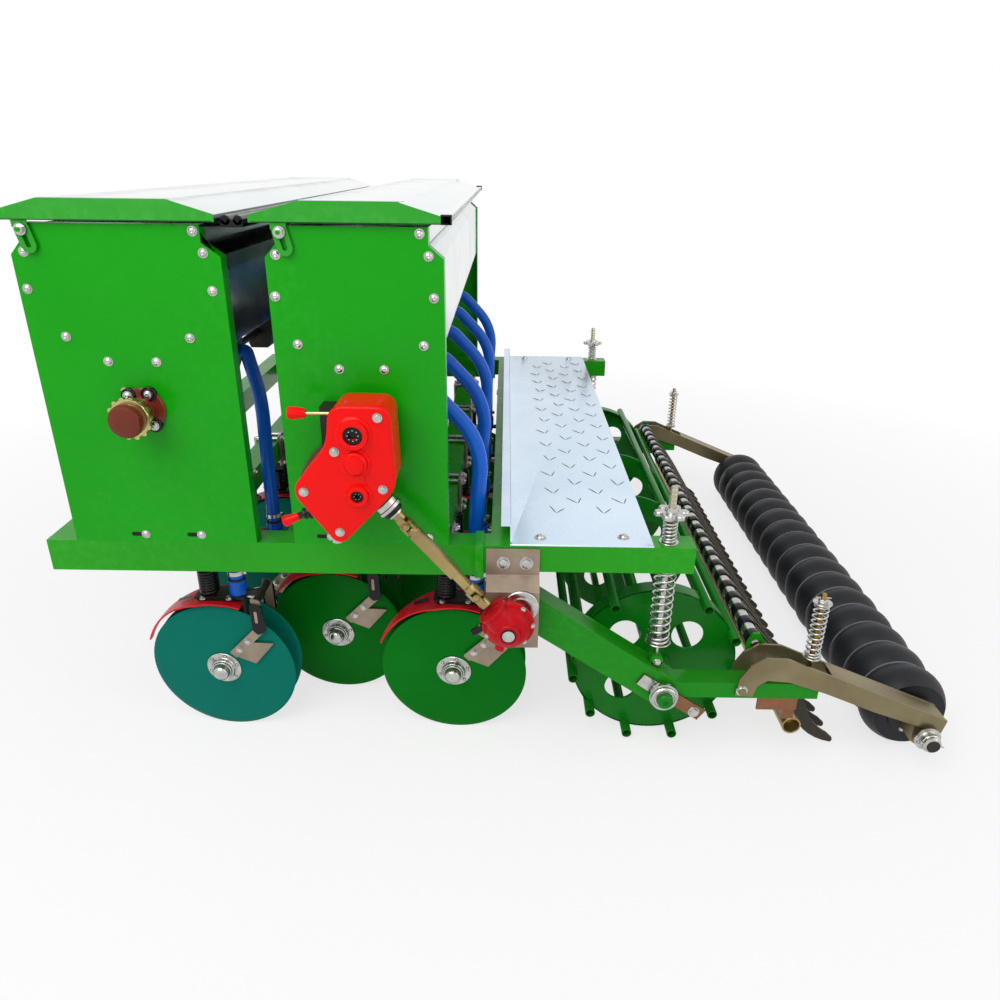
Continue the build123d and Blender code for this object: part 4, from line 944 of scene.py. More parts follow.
def buildDriveShaft():
    start, end = driveShaft["start"], driveShaft["end"]
    run = end - start
    length = run.length
    whole = placed(start, run)
    flip = Matrix.Rotation(math.pi, 4, "X")
    small = Matrix.Scale(driveShaft["yoke"], 4)
    cross = 0.034 * driveShaft["yoke"]
    quarter = Matrix.Rotation(math.pi / 2, 4, "Z")
    bm = bmesh.new()
    addCopies(bm, addYoke,
              [whole @ small,
               whole @ Matrix.Translation((0, 0, 2 * cross)) @ quarter @ flip @ small,
               whole @ Matrix.Translation((0, 0, length - 2 * cross)) @ quarter @ small,
               whole @ Matrix.Translation((0, 0, length)) @ flip @ small])
    for height in (cross, length - cross):  # crosses of the two joints
        for axis in (Vector((1, 0, 0)), Vector((0, 1, 0))):
            centre = whole @ Vector((0, 0, height))
            arm = (whole.to_3x3() @ axis) * 0.013
            addRod(bm, centre - arm, centre + arm, 0.0062, 14, None, 1)
    tubes = bmesh.new()
    outer, inner = driveShaft["outer"], driveShaft["inner"]
    addBlock(tubes, (-outer, -outer, 0.050), (outer, outer, length - 0.092))
    addBlock(tubes, (-inner, -inner, length - 0.094), (inner, inner, length - 0.050))
    addRod(tubes, (outer - 0.001, 0, 0.074), (outer + 0.004, 0, 0.074), 0.005, 6)
    softenEdges(tubes, 0.0016)
    bmesh.ops.transform(tubes, matrix=whole, verts=tubes.verts)
    finishPiece(tubes, "shaft_tubes", ("brassZinc",))
    finishPiece(bm, "drive_shaft_finished", ("brassZinc", "zinc"), nodes=("drive_shaft",))
    # flange, seal and collar where the shaft leaves the gearbox
    flange = bmesh.new()
    back = start - run.normalized() * 0.034
    addSpin(flange, [(0, 0), (0.024, 0), (0.024, 0.010), (0.0265, 0.0115), (0.0265, 0.0175),
                     (0.0245, 0.0190), (0.0175, 0.0190), (0.0175, 0.017)], back, run, 40, 0)
    addSpin(flange, [(0.0205, 0.010), (0.0205, 0.0265), (0.0185, 0.0285), (0, 0.0285)],
            back, run, 36, 1)
    addSpin(flange, [(0.0165, 0.0265), (0.0165, 0.0325), (0, 0.0325)], back, run, 32, 0)
    finishPiece(flange, "gearbox_flange", ("zinc", "blackGloss"))


buildDriveShaft()


def buildBevelBox():
    centre = bevel["centre"]
    bm = bmesh.new()
    shell = [(0, 0), (0.046, 0), (0.048, 0.003), (0.0485, 0.022), (0.0535, 0.024),
             (0.0545, 0.0255), (0.0545, 0.0300), (0.0530, 0.0315), (0.0475, 0.0330),
             (0.0455, 0.0440), (0.0385, 0.0530), (0.0270, 0.0570), (0.0250, 0.0600),
             (0.0240, 0.0680), (0.0215, 0.0700), (0.0165, 0.0700), (0.0160, 0.0685),
             (0, 0.0685)]
    addSpin(bm, shell, centre, alongY, 56, 0)
    # neck towards the shaft, with its own flange
    neck = bevel["centre"] + Vector((0, 0.034, 0))
    way = driveShaft["end"] - neck
    addSpin(bm, [(0.0330, 0.0), (0.0325, 0.030), (0.0290, 0.040), (0.0285, 0.046),
                 (0.0320, 0.0480), (0.0320, 0.0530), (0.0300, 0.0545), (0.0180, 0.0545),
                 (0.0170, 0.0520), (0, 0.0520)], neck, way, 44, 0)
    # ribs over the casting
    across = Vector((0, 1, 0)).cross(way.normalized())
    for share in (-0.6, 0.0, 0.6):
        foot = neck + across * 0.030 * share
        addRod(bm, foot + alongY * 0.020 - way.normalized() * 0.012,
               foot + way.normalized() * 0.042, 0.0048, 10, 0.0030, 0)
    # drain boss under the casting
    addRod(bm, neck + Vector((0.010, -0.006, -0.030)), neck + Vector((0.018, -0.004, -0.058)),
           0.0120, 18, 0.0100, 0)
    places = []
    for bolt in range(7):
        turn = math.tau * bolt / 7 + 0.4
        spot = centre + Vector((math.cos(turn) * 0.0495, 0.0318, math.sin(turn) * 0.0495))
        places.append(placed(spot, alongY))
    addCopies(bm, hexBolt(0.0052, 1, 1), places)
    # end of the cross shaft in its ring
    end = centre + alongY * 0.0685
    addSpin(bm, [(0.0155, -0.001), (0.0155, 0.0012), (0.0125, 0.0016)], end, alongY, 30, 2)
    addSpin(bm, [(0.0128, -0.001), (0.0128, 0.0030), (0.0105, 0.0042), (0.0050, 0.0046),
                 (0, 0.0040)], end, alongY, 28, 1)
    # bright bearing flange on the bracket, behind the casting
    back = Vector((centre.x - 0.026, leftFace + 0.034 + 0.0062, centre.z + 0.030))
    addSpin(bm, [(0, 0), (0.0370, 0), (0.0370, 0.0050), (0.0350, 0.0065), (0.0240, 0.0070),
                 (0.0220, 0.0110), (0, 0.0110)], back, alongY, 40, 1)
    # key end and lock plate below
    addBlock(bm, (centre.x + 0.024, centre.y + 0.010, centre.z - 0.040),
             (centre.x + 0.070, centre.y + 0.016, centre.z - 0.018), 3,
             Matrix.Rotation(math.radians(-34), 4, "Y"))
    addRod(bm, (centre.x + 0.050, centre.y + 0.012, centre.z - 0.012),
           (centre.x + 0.074, centre.y + 0.012, centre.z - 0.030), 0.0085, 16, None, 2)
    finishPiece(bm, "bevel_gearbox_finished", ("castRed", "zinc", "blackGloss", "yellowZinc"),
                nodes=("bevel_gearbox",))


buildBevelBox()

# rate adjuster on the front hopper's left panel
meterLow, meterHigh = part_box("rate_adjuster")
adjuster = {"centre": Vector(((meterLow.x + meterHigh.x) / 2, leftFace,
                              (meterLow.z + meterHigh.z) / 2)),
            "bolts": 3, "boltRing": 0.036, "waves": 14}


def buildAdjuster():
    centre = adjuster["centre"]
    bm = bmesh.new()
    addSpin(bm, [(0, 0), (0.0420, 0), (0.0425, 0.004), (0.0400, 0.0065), (0.0270, 0.0080),
                 (0.0245, 0.0150), (0.0240, 0.0440)], centre, alongY, 48, 0)
    for rib in range(3):  # grooves round the neck
        y = 0.014 + rib * 0.009
        addSpin(bm, [(0.0240, y), (0.0262, y + 0.001), (0.0262, y + 0.005), (0.0240, y + 0.006)],
                centre, alongY, 36, 0)
    addSpin(bm, [(0, 0.040), (0.0300, 0.040), (0.0330, 0.043), (0.0330, 0.058)], centre,
            alongY, 48, 0)
    # wavy brass ring
    addSpin(bm, [(0.0300, 0.0560), (0.0365, 0.0565), (0.0375, 0.0585), (0.0375, 0.0645),
                 (0.0360, 0.0665), (0.0290, 0.0670)], centre, alongY, 48, 1)
    for wave in range(adjuster["waves"]):
        turn = math.tau * wave / adjuster["waves"]
        spot = centre + Vector((math.cos(turn), 0, math.sin(turn))) * 0.0362
        addRod(bm, spot + alongY * 0.0575, spot + alongY * 0.0655, 0.0052, 14, None, 1)
    # glossy cap
    addSpin(bm, [(0.0305, 0.064), (0.0318, 0.066), (0.0322, 0.080), (0.0312, 0.0860),
                 (0.0290, 0.0895), (0.0220, 0.0925), (0.0110, 0.0940), (0, 0.0943)], centre,
            alongY, 52, 2)
    places = []
    for bolt in range(adjuster["bolts"]):
        turn = math.radians((128, 62, -58)[bolt])
        ear = centre + Vector((-math.cos(turn), 0, math.sin(turn))) * adjuster["boltRing"]
        addSpin(bm, [(0, 0.001), (0.0135, 0.001), (0.0140, 0.004), (0.0140, 0.010),
                     (0.0125, 0.0115), (0, 0.0115)], ear, alongY, 28, 3)
        places.append(placed(ear + alongY * 0.0113, alongY))
    addCopies(bm, panBolt(0.0082, 4, 4), places)
    # pale slot of the pointer, up and ahead of the ring
    mark = centre + Vector((0.030, 0, 0.034))
    addRod(bm, mark + Vector((-0.005, 0.0005, -0.006)), mark + Vector((0.005, 0.0005, 0.006)),
           0.0052, 16, None, 5)
    finishPiece(bm, "rate_adjuster_finished",
                ("brownCap", "brass", "brownCap", "blackGloss", "zinc", "paleCream"),
                nodes=("rate_adjuster",))


buildAdjuster()

# zinc bracket on the beam and the tensioner plates at the cage roller
zincLow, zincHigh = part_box("zinc_plates")
cagePlace = jointPlace("cage_roller")


def pickZinc(face):  # satin brackets in front, and coppery tensioner plates
    middle = face.calc_center_median()
    if middle.x > cagePlace.x + 0.20:
        return 2
    away = Vector((middle.x - cagePlace.x, 0, middle.z - cagePlace.z)).length
    return 0 if away < 0.031 and abs(middle.y - midY) > halfSpan + 0.0062 else 1


def buildZincPlates():
    softened("zinc_plates", 0.0012, ("zinc", "copperPlate", "satinZinc"),
             pick=pickZinc)
    bm = bmesh.new()
    bolts = [placed((zincHigh.x - back, leftFace + 0.006, beamTop - 0.036), alongY)
             for back in (0.036, 0.084)]
    addCopies(bm, hexBolt(0.0125), bolts)
    for side in (1, -1):
        out = alongY * side
        hub = Vector((cagePlace.x, midY + side * (halfSpan + 0.026), cagePlace.z))
        addSpin(bm, [(0.0300, -0.016), (0.0325, -0.015), (0.0325, -0.008), (0.0300, -0.007),
                     (0.0300, 0.0), (0.0280, 0.0020), (0.0235, 0.0022), (0.0225, 0.0005),
                     (0.0190, 0.0005), (0.0185, 0.0020)], hub, out, 40, 0)
        nipple = hub + Vector((0.020, -side * 0.006, 0.024))
        addRod(bm, nipple, nipple + Vector((0.006, 0, 0.009)), 0.0042, 6, 0.0022, 0)
        # bright half of the tensioner, up and ahead of the axle
        near = midY + side * (halfSpan + 0.0060)
        addPlate(bm, [(cagePlace.x + x, cagePlace.z + z) for x, z in
                      ((0.0455, 0.0515), (0.0615, 0.0265), (-0.004, -0.020), (-0.022, 0.008))],
                 *sorted((near, near + side * 0.0006)), 0)
        plate = Vector((cagePlace.x - 0.074, midY + side * (halfSpan + 0.006), cagePlace.z - 0.048))
        if side < 0:
            plate.y = midY - halfSpan - 0.0002 - 0.0058
        addCopies(bm, hexBolt(0.0115), [placed(plate, out)])
    finishPiece(bm, "plate_bolts", ("zinc",))


buildZincPlates()
print("drive done")
# disc openers: each disc rides its own body
openers = sorted({body.rsplit("_", 1)[0] for body in joints if body.startswith("disc_")})
disc = {"radius": 0.175, "thickness": 0.003, "rivets": 6, "rivetRing": 0.0352}


def addDisc(bm):  # blade and hub, outwards along +Z from the blade's middle
    radius, half = disc["radius"], disc["thickness"] / 2
    addSpin(bm, [(0.0105, -half), (radius - 0.012, -half), (radius - 0.0005, -0.0003),
                 (radius, 0), (radius - 0.0005, 0.0003), (radius - 0.012, half),
                 (0.0105, half), (0.0105, -half)], steps=72, material=0)
    addSpin(bm, [(0.0105, half), (0.0412, half), (0.0420, half + 0.0008),
                 (0.0420, half + 0.0034), (0.0410, half + 0.0042), (0.0300, half + 0.0044),
                 (0.0285, half + 0.0060), (0.0275, 0.0125), (0.0262, 0.0140),
                 (0.0240, 0.0142), (0.0236, 0.0125), (0.0105, 0.0125)], steps=40, material=1)
    addSpin(bm, [(0.0105, 0.012), (0.0230, 0.012), (0.0226, 0.0170), (0.0210, 0.0180),
                 (0.0202, 0.0205), (0.0186, 0.0275), (0.0166, 0.0312), (0.0126, 0.0340),
                 (0.0070, 0.0358), (0.0024, 0.0362), (0, 0.0362)], steps=36, material=1)
    addSpin(bm, [(0.0236, 0.0126), (0.0236, 0.0142), (0.0226, 0.0146)], steps=36, material=2)
    places = []
    for rivet in range(disc["rivets"]):
        turn = math.tau * (rivet + 0.3) / disc["rivets"]
        places.append(placed((math.cos(turn) * disc["rivetRing"],
                              math.sin(turn) * disc["rivetRing"], half + 0.0042)))
    addCopies(bm, panBolt(0.0036, 2, 1), places)


def buildDiscs():
    for body in joints:
        if not body.startswith("disc_"):
            continue
        bm = bmesh.new()
        addCopies(bm, addDisc, [placed(jointPlace(body), joints[body]["axis"])])
        finish, slot = ("discTeal", "disc_teal") if "front" in body else ("discGreen",
                                                                        "disc_green")
        finishPiece(bm, body + "_finished", (finish, "zinc", "darkSteel"), body, (body,),
                    recalc=False)


buildDiscs()

# opener parts that stay with the frame
clampLow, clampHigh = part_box("opener_clamps")
springLow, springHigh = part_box("opener_springs")
opener = {"legAhead": 0.015, "springRadius": 0.019, "springWire": 0.0048, "springTurns": 8,
          "clampHalf": 0.032, "nutSize": 0.0095, "boltGap": 0.020}
opener["places"] = [(jointPlace(name + "_left") + jointPlace(name + "_right")) / 2
                    for name in openers]


def addClamp(bm):  # square plate over the toolbar with its two U-bolts
    wrap = 0.0363
    addPlate(bm, [(-0.004, -0.046), (0.004, -0.046), (0.004, 0.046), (-0.004, 0.046)],
             -opener["clampHalf"], opener["clampHalf"], 0)
    softenEdges(bm, 0.0012)
    addBlock(bm, (-0.0046, -0.004, -0.016), (-0.0036, 0.004, 0.016), 1)
    for y in (-opener["boltGap"], opener["boltGap"]):
        for z in (-wrap, wrap):
            addRod(bm, (-0.016, y, z), (0.068, y, z), 0.0058, 14, None, 2)
            addRod(bm, (-0.0115, y, z), (-0.004, y, z), opener["nutSize"], 6, None, 2)
            addRod(bm, (-0.0052, y, z), (-0.0040, y, z), opener["nutSize"] * 1.25, 18, None, 2)
        addRod(bm, (0.0705, y, -wrap), (0.0705, y, wrap), 0.0058, 14, None, 2)
        for z in (-wrap, wrap):
            addSpin(bm, [(0.0058, 0), (0.0052, 0.0030), (0.0030, 0.0052), (0, 0.0058)],
                    (0.0705, y, z), (0, 0, 1 if z > 0 else -1), 14, 2)


def buildOpenerParts():
    bm = bmesh.new()
    middle = (clampLow.z + clampHigh.z) / 2
    addCopies(bm, addClamp, [Matrix.Translation((p.x, p.y, middle)) for p in opener["places"]])
    finishPiece(bm, "opener_clamps_finished", ("paleSteel", "blackGloss", "zinc"),
                nodes=("opener_clamps",), recalc=False)
    bm = bmesh.new()
    height = springHigh.z - springLow.z
    addHelix(bm, height, opener["springRadius"], opener["springWire"], opener["springTurns"],
             [Matrix.Translation((p.x + opener["legAhead"], p.y, springLow.z))
              for p in opener["places"]], 7, 14)
    finishPiece(bm, "opener_springs_finished", ("blackGloss",), nodes=("opener_springs",),
                sharp=60)


def scraperFaces():  # outer face of each disc: a turn whose axes are forward, outward and up
    for body in joints:
        if body.startswith("disc_"):
            out = Vector(joints[body]["axis"])
            forward = (Vector((1, 0, 0)) - out * out.x).normalized()
            rise = forward.cross(out)
            rise = rise if rise.z > 0 else -rise
            yield Matrix.Translation(jointPlace(body)) @ Matrix(
                (forward, out, rise)).transposed().to_4x4()


scraper = {"arm": ((-0.116, 0.205), (-0.119, 0.120), (-0.040, 0.037), (-0.024, 0.052),
                   (-0.097, 0.129), (-0.094, 0.210)),
           "block": ((-0.120, 0.192), (-0.122, 0.122), (-0.104, 0.112), (-0.092, 0.124),
                     (-0.092, 0.196)),
           "slot": ((-0.101, 0.178), (-0.108, 0.178), (-0.108, 0.146), (-0.101, 0.146)),
           "blade": ((-0.071, 0.083), (-0.134, 0.083), (-0.084, 0.021), (-0.043, 0.037)),
           "armLift": (0.0082, 0.0116), "bladeLift": (0.0050, 0.0082), "blockRise": 0.0055,
           "slotRise": 0.0004, "boltSize": 0.0072, "bolts": ((-0.050, 0.063), (-0.074, 0.088)),
           "corner": 0.005}


def buildScrapers():  # sprung arm with a slot, and a parallel blade bolted to it
    bm = bmesh.new()
    bolts = []
    low, high = scraper["armLift"]
    for face in scraperFaces():
        part = bmesh.new()
        addPlate(part, scraper["arm"], low, high, 0, scraper["corner"])
        addPlate(part, scraper["block"], high, high + scraper["blockRise"], 1, scraper["corner"])
        addPlate(part, scraper["slot"], high + scraper["blockRise"],
                 high + scraper["blockRise"] + scraper["slotRise"], 0, 0.0028)
        addPlate(part, scraper["blade"], *scraper["bladeLift"], 2, 0.0015)
        joinShape(bm, part, (face,))
        for x, z in scraper["bolts"]:
            bolts.append(face @ placed((x, high, z), alongY))
    addCopies(bm, hexBolt(scraper["boltSize"], 3, 3), bolts)
    bmesh.ops.remove_doubles(bm, verts=bm.verts, dist=1e-6)
    finishPiece(bm, "scrapers_finished", ("satinZinc", "blackGloss", "satinZinc", "zinc"),
                nodes=("scrapers",))


def addGuardFitting(bm):  # strap and bolts that hold a guard to its leg, from the hub
    top = 0.190
    addBlock(bm, (-0.050, -0.030, top - 0.0005), (0.036, -0.0185, top + 0.0035), 0)
    addBlock(bm, (-0.050, 0.0185, top - 0.0005), (0.036, 0.030, top + 0.0035), 0)
    softenEdges(bm, 0.0008, 1)
    for x in (-0.036, 0.024):
        for y in (-0.0243, 0.0243):
            addCopies(bm, hexBolt(0.0070, 1, 1), [placed((x, y, top + 0.0035))])
    # slot in the guard ahead of the leg: a thin black plate, painted shade for its dark opening
    turn = Matrix.Rotation(math.radians(20), 4, "Y")
    addBlock(bm, (0.060, -0.006, 0.1790), (0.094, 0.006, 0.1802), 0, turn)


def buildGuardFittings():
    bm = bmesh.new()
    addCopies(bm, addGuardFitting, [Matrix.Translation(p) for p in opener["places"]])
    # hose ends drawn over the boots, and rings where they meet
    hoseLow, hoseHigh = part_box("hoses")
    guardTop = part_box("disc_guards")[1].z
    sleeve = hoseLow.z - guardTop - 0.004
    for p in opener["places"]:
        addSpin(bm, [(0.0202, 0.0065), (0.0211, 0.007), (0.0211, sleeve - 0.0005),
                     (0.0202, sleeve)], (p.x - 0.052, p.y, guardTop), upward, 24, 2)
        foot = Vector((p.x - 0.052, p.y, hoseLow.z))
        addSpin(bm, [(0.0172, 0.010), (0.0192, 0.0105), (0.0192, 0.0205), (0.0172, 0.021)],
                foot, upward, 20, 1)
        addBlock(bm, foot + Vector((-0.0245, -0.004, 0.0105)),
                 foot + Vector((-0.018, 0.004, 0.0205)), 1)
    finishPiece(bm, "guard_fittings", ("blackGloss", "zinc", "blueHose"))


buildOpenerParts()
buildScrapers()
buildGuardFittings()
print("openers done")
# cage roller: hoops, discs with round windows, and tubes whose open ends stand out
cage = {"radius": 0.208, "bar": 0.012, "bars": 11, "wall": 0.0022, "peg": 0.038,
        "endDisc": 0.730, "innerDisc": 0.180, "plate": 0.006, "rim": 0.040, "window": 0.038,
        "windowRing": 0.105}


def buildCageRoller():
    centre = cagePlace
    outer = cage["radius"] - cage["bar"]
    bm = bmesh.new()
    plates = bmesh.new()
    # round plates, then windows cut through them
    for y in (cage["endDisc"] - cage["plate"] / 2, cage["innerDisc"] - cage["plate"] / 2,
              -cage["innerDisc"] + cage["plate"] / 2, -cage["endDisc"] + cage["plate"] / 2):
        addSpin(plates, [(0.018, -cage["plate"] / 2), (outer, -cage["plate"] / 2),
                         (outer, cage["plate"] / 2), (0.018, cage["plate"] / 2),
                         (0.018, -cage["plate"] / 2)],
                (centre.x, midY + y, centre.z), alongY, 88)
    cutters = bmesh.new()
    for window in range(4):
        turn = math.pi / 4 + math.pi / 2 * window
        spot = centre + Vector((math.cos(turn), 0, math.sin(turn))) * cage["windowRing"]
        addRod(cutters, (spot.x, midY - 0.9, spot.z), (spot.x, midY + 0.9, spot.z),
               cage["window"], 40)
    plate = meshObject("cage_plates_cut", plates)
    cutter = meshObject("cage_cutter", cutters)
    modifier = plate.modifiers.new("windows", "BOOLEAN")
    modifier.object = cutter
    modifier.solver = "EXACT"
    cut = bpy.data.meshes.new_from_object(plate.evaluated_get(
        bpy.context.evaluated_depsgraph_get()))
    bm.from_mesh(cut)
    for leftover in (plate, cutter):
        bpy.data.objects.remove(leftover)
    softenEdges(bm, 0.0008, 1, 60)
    # hoops at both ends, a round bead at their edges
    for side in (1, -1):
        high = cage["endDisc"] * side
        low = high - cage["rim"] * side
        addSpin(bm, [(outer - 0.0045, low), (outer, low), (outer + 0.0004, (low + high) / 2),
                     (outer, high), (outer - 0.0045, high), (outer - 0.0045, low)],
                (centre.x, midY, centre.z), alongY, 88)
    bar = bmesh.new()
    reach = cage["endDisc"] + cage["peg"]
    inner = cage["bar"] - cage["wall"]
    addSpin(bar, [(0, -reach + 0.03), (inner, -reach + 0.03), (inner, -reach),
                  (cage["bar"] - 0.0004, -reach), (cage["bar"], -reach + 0.0006),
                  (cage["bar"], reach - 0.0006), (cage["bar"] - 0.0004, reach), (inner, reach),
                  (inner, reach - 0.03), (0, reach - 0.03)], (0, 0, 0), (0, 1, 0), 16)
    places = []
    for number in range(cage["bars"]):
        turn = math.pi / 2 + math.tau * number / cage["bars"]
        places.append(Matrix.Translation((centre.x + math.cos(turn) * outer, midY,
                                          centre.z + math.sin(turn) * outer)))
    joinShape(bm, bar, places)
    # axle with welded hubs and its bevelled ends
    tip = halfSpan + 0.040
    addSpin(bm, [(0, -tip), (0.0150, -tip), (0.0175, -tip + 0.003), (0.0175, tip - 0.003),
                 (0.0150, tip), (0.0060, tip), (0.0050, tip - 0.003), (0, tip - 0.004)],
            (centre.x, midY, centre.z), alongY, 32)
    for side in (1, -1):
        base = cage["endDisc"] * side
        addSpin(bm, [(0.018, base), (0.0400, base), (0.0375, base + side * 0.006),
                     (0.0360, base + side * 0.010), (0.018, base + side * 0.010)],
                (centre.x, midY, centre.z), alongY, 36)
    finishPiece(bm, "cage_roller_finished", ("cageGreen",), "cage_roller", ("cage_roller",))


def meshObject(name, bm):  # a passing helper for cuts, which is removed again
    bmesh.ops.recalc_face_normals(bm, faces=bm.faces)
    mesh = bpy.data.meshes.new(name)
    bm.to_mesh(mesh)
    bm.free()
    helper = bpy.data.objects.new(name, mesh)
    bpy.context.scene.collection.objects.link(helper)
    return helper


buildCageRoller()

# comb: shaft of bright sleeves and black collars, leaf-shaped blades
combLow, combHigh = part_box("comb_shaft")
tineLow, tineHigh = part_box("comb_tines")
comb = {"centre": Vector(((combLow.x + combHigh.x) / 2, midY, (combLow.z + combHigh.z) / 2)),
        "pitch": 0.057, "seat": 0.012, "blade": 0.0065, "sleeve": 0.0165, "collar": 0.0195,
        # outline of a blade from the shaft's centre: start, then arcs as (through, end)
        "start": (0.004, -0.018),
        "front": (((-0.064, -0.096), (-0.121, -0.187)), ((-0.163, -0.265), (-0.231, -0.298))),
        "nose": ((-0.235, -0.293), (-0.234, -0.285), (-0.218, -0.270)),
        "back": (((-0.179, -0.237), (-0.155, -0.187)), ((-0.100, -0.104), (-0.016, -0.008)))}
combSpan = combHigh.y - combLow.y - 4 * comb["seat"]
comb["tines"] = round(combSpan / comb["pitch"]) + 1
comb["rows"] = [combSpan * (tine / (comb["tines"] - 1) - 0.5) for tine in range(comb["tines"])]


def bladeOutline():
    points = [Vector(comb["start"])]
    for through, end in comb["front"]:
        points += arcPoints(points[-1], through, end)
    points += [Vector(point) for point in comb["nose"]]
    for through, end in comb["back"]:
        points += arcPoints(points[-1], through, end)
    return points


def addBlade(bm):  # one blade from the shaft's centre, back and down to its tip
    half = comb["blade"] / 2
    addPlate(bm, bladeOutline(), -half, half, 0)
    for face in bm.faces:  # paler edge faces, a painted highlight along the blade's edge
        if len(face.verts) == 4:
            face.material_index = 1
    softenEdges(bm, 0.0008, 1)
    addSpin(bm, [(0.0125, -0.012), (comb["collar"], -0.012), (comb["collar"] + 0.0008, -0.010),
                 (comb["collar"] + 0.0008, 0.010), (comb["collar"], 0.012), (0.0125, 0.012)],
            (0, 0, 0), (0, 1, 0), 28, 2)
    addCopies(bm, hexBolt(0.0052, 3, 3), [placed((-0.012, half, -0.028), alongY)])


def buildComb():
    bm = bmesh.new()
    addCopies(bm, addBlade,
              [Matrix.Translation(comb["centre"] + alongY * y) for y in comb["rows"]])
    finishPiece(bm, "comb_blades", ("bladeSteel", "bladeEdgeHighlight", "blackGloss", "zinc"),
                nodes=("comb_tines",))
    bm = bmesh.new()
    centre = comb["centre"]
    addRod(bm, (centre.x, combLow.y, centre.z), (centre.x, combHigh.y, centre.z), 0.012, 24)
    for low, high in zip(comb["rows"], comb["rows"][1:]):  # bright sleeve between two collars
        middle = (low + high) / 2
        addSpin(bm, [(0.0115, -0.0165), (comb["sleeve"] - 0.001, -0.0165),
                     (comb["sleeve"], -0.0155), (comb["sleeve"], 0.0155),
                     (comb["sleeve"] - 0.001, 0.0165), (0.0115, 0.0165)],
                (centre.x, midY + middle, centre.z), alongY, 26, 0)
    for side in (1, -1):
        end = (combHigh.y - midY) * side
        addCopies(bm, hexBolt(0.012), [placed((centre.x, midY + end - side * 0.008, centre.z),
                                              alongY * side)])
    finishPiece(bm, "comb_shaft_finished", ("zinc",), nodes=("comb_shaft",))


barLow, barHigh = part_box("comb_bar")
barRadius = 0.022


def pickBar(face):  # round bar, and the flat plates that hold it
    middle = face.calc_center_median()
    fromBar = Vector((middle.x - barLow.x - barRadius, middle.z - barLow.z - barRadius))
    return 0 if fromBar.length < barRadius + 0.0005 else 1


buildComb()
softened("comb_bar", 0.0015, ("brassZinc", "copperPlate"), pick=pickBar)

# rubber roller: domed rings with a pale line at each joint
pressPlace = jointPlace("rubber_roller")
pressLow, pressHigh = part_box("rubber_roller")
press = {"radius": 0.100, "groove": 0.017, "rings": 17, "halfLength": 0.780, "line": 0.0006,
         "axle": 0.015}


def buildRubberRoller():
    bm = bmesh.new()
    width = 2 * press["halfLength"] / press["rings"]
    base = press["radius"] - press["groove"]
    points = 9
    for ring in range(press["rings"]):
        low = -press["halfLength"] + ring * width
        profile = [(base - 0.012, low + 0.0004)]
        for step in range(points + 1):  # half wave of the dome
            share = step / points
            profile.append((base + press["groove"] * math.sin(math.pi * share) ** 0.8,
                            low + 0.0006 + (width - 0.0012) * share))
        profile.append((base - 0.012, low + width - 0.0004))
        addSpin(bm, profile, pressPlace, alongY, 64, 0)
        if ring:
            addSpin(bm, [(base - 0.010, low - press["line"]), (base + 0.0042, low - press["line"]),
                         (base + 0.0042, low + press["line"]), (base - 0.010, low + press["line"])],
                    pressPlace, alongY, 64, 1)
    for side in (1, -1):  # end faces with a bolted flange
        end = pressPlace + alongY * side * press["halfLength"]
        addSpin(bm, [(base - 0.008, -0.004), (base - 0.004, 0.0), (0.060, 0.0010),
                     (0.056, 0.0005), (0.014, 0.0005)], end, alongY * side, 48, 0)
        addSpin(bm, [(0.014, 0.0), (0.052, 0.0), (0.052, 0.0035), (0.050, 0.0045),
                     (0.030, 0.0045), (0.028, 0.0070), (0.014, 0.0070)], end, alongY * side, 40, 2)
        places = []
        for bolt in range(5):
            turn = math.tau * bolt / 5
            places.append(placed(end + alongY * side * 0.0045
                                 + Vector((math.cos(turn), 0, math.sin(turn))) * 0.041,
                                 alongY * side))
        addCopies(bm, hexBolt(0.0062, 3, 3), places)
    addRod(bm, (pressPlace.x, pressLow.y, pressPlace.z), (pressPlace.x, pressHigh.y, pressPlace.z),
           press["axle"], 32, None, 2)
    for side, edge in ((1, pressHigh.y), (-1, pressLow.y)):  # castle nut with its cotter pin
        outward = alongY * side
        foot = Vector((pressPlace.x, edge - side * 0.031, pressPlace.z))
        addSpin(bm, [(0.015, 0), (0.0295, 0), (0.0300, 0.0015), (0.0300, 0.0040),
                     (0.0235, 0.0050), (0.0225, 0.0060), (0.0225, 0.0180), (0.0205, 0.0200),
                     (0.015, 0.0200)], foot, outward, 40, 3)
        addSpin(bm, [(0.0200, 0.018), (0.0215, 0.0190), (0.0215, 0.0250), (0.0180, 0.0280),
                     (0.0140, 0.0290), (0, 0.0290)], foot, outward, 8, 3)
        pin = foot + outward * 0.0235
        addRod(bm, pin + Vector((0.030, 0, 0.006)), pin - Vector((0.028, 0, 0.006)), 0.0017, 8,
               None, 3)
        addSpin(bm, [(0.0028, -0.0014), (0.0052, -0.0014), (0.0052, 0.0014), (0.0028, 0.0014),
                     (0.0028, -0.0014)], pin + Vector((0.0335, 0, 0.0066)), (0, 0, 1), 16, 3)
    finishPiece(bm, "rubber_roller_finished", ("rubber", "jointGrey", "darkSteel", "zinc"),
                "rubber_roller", ("rubber_roller",))


buildRubberRoller()

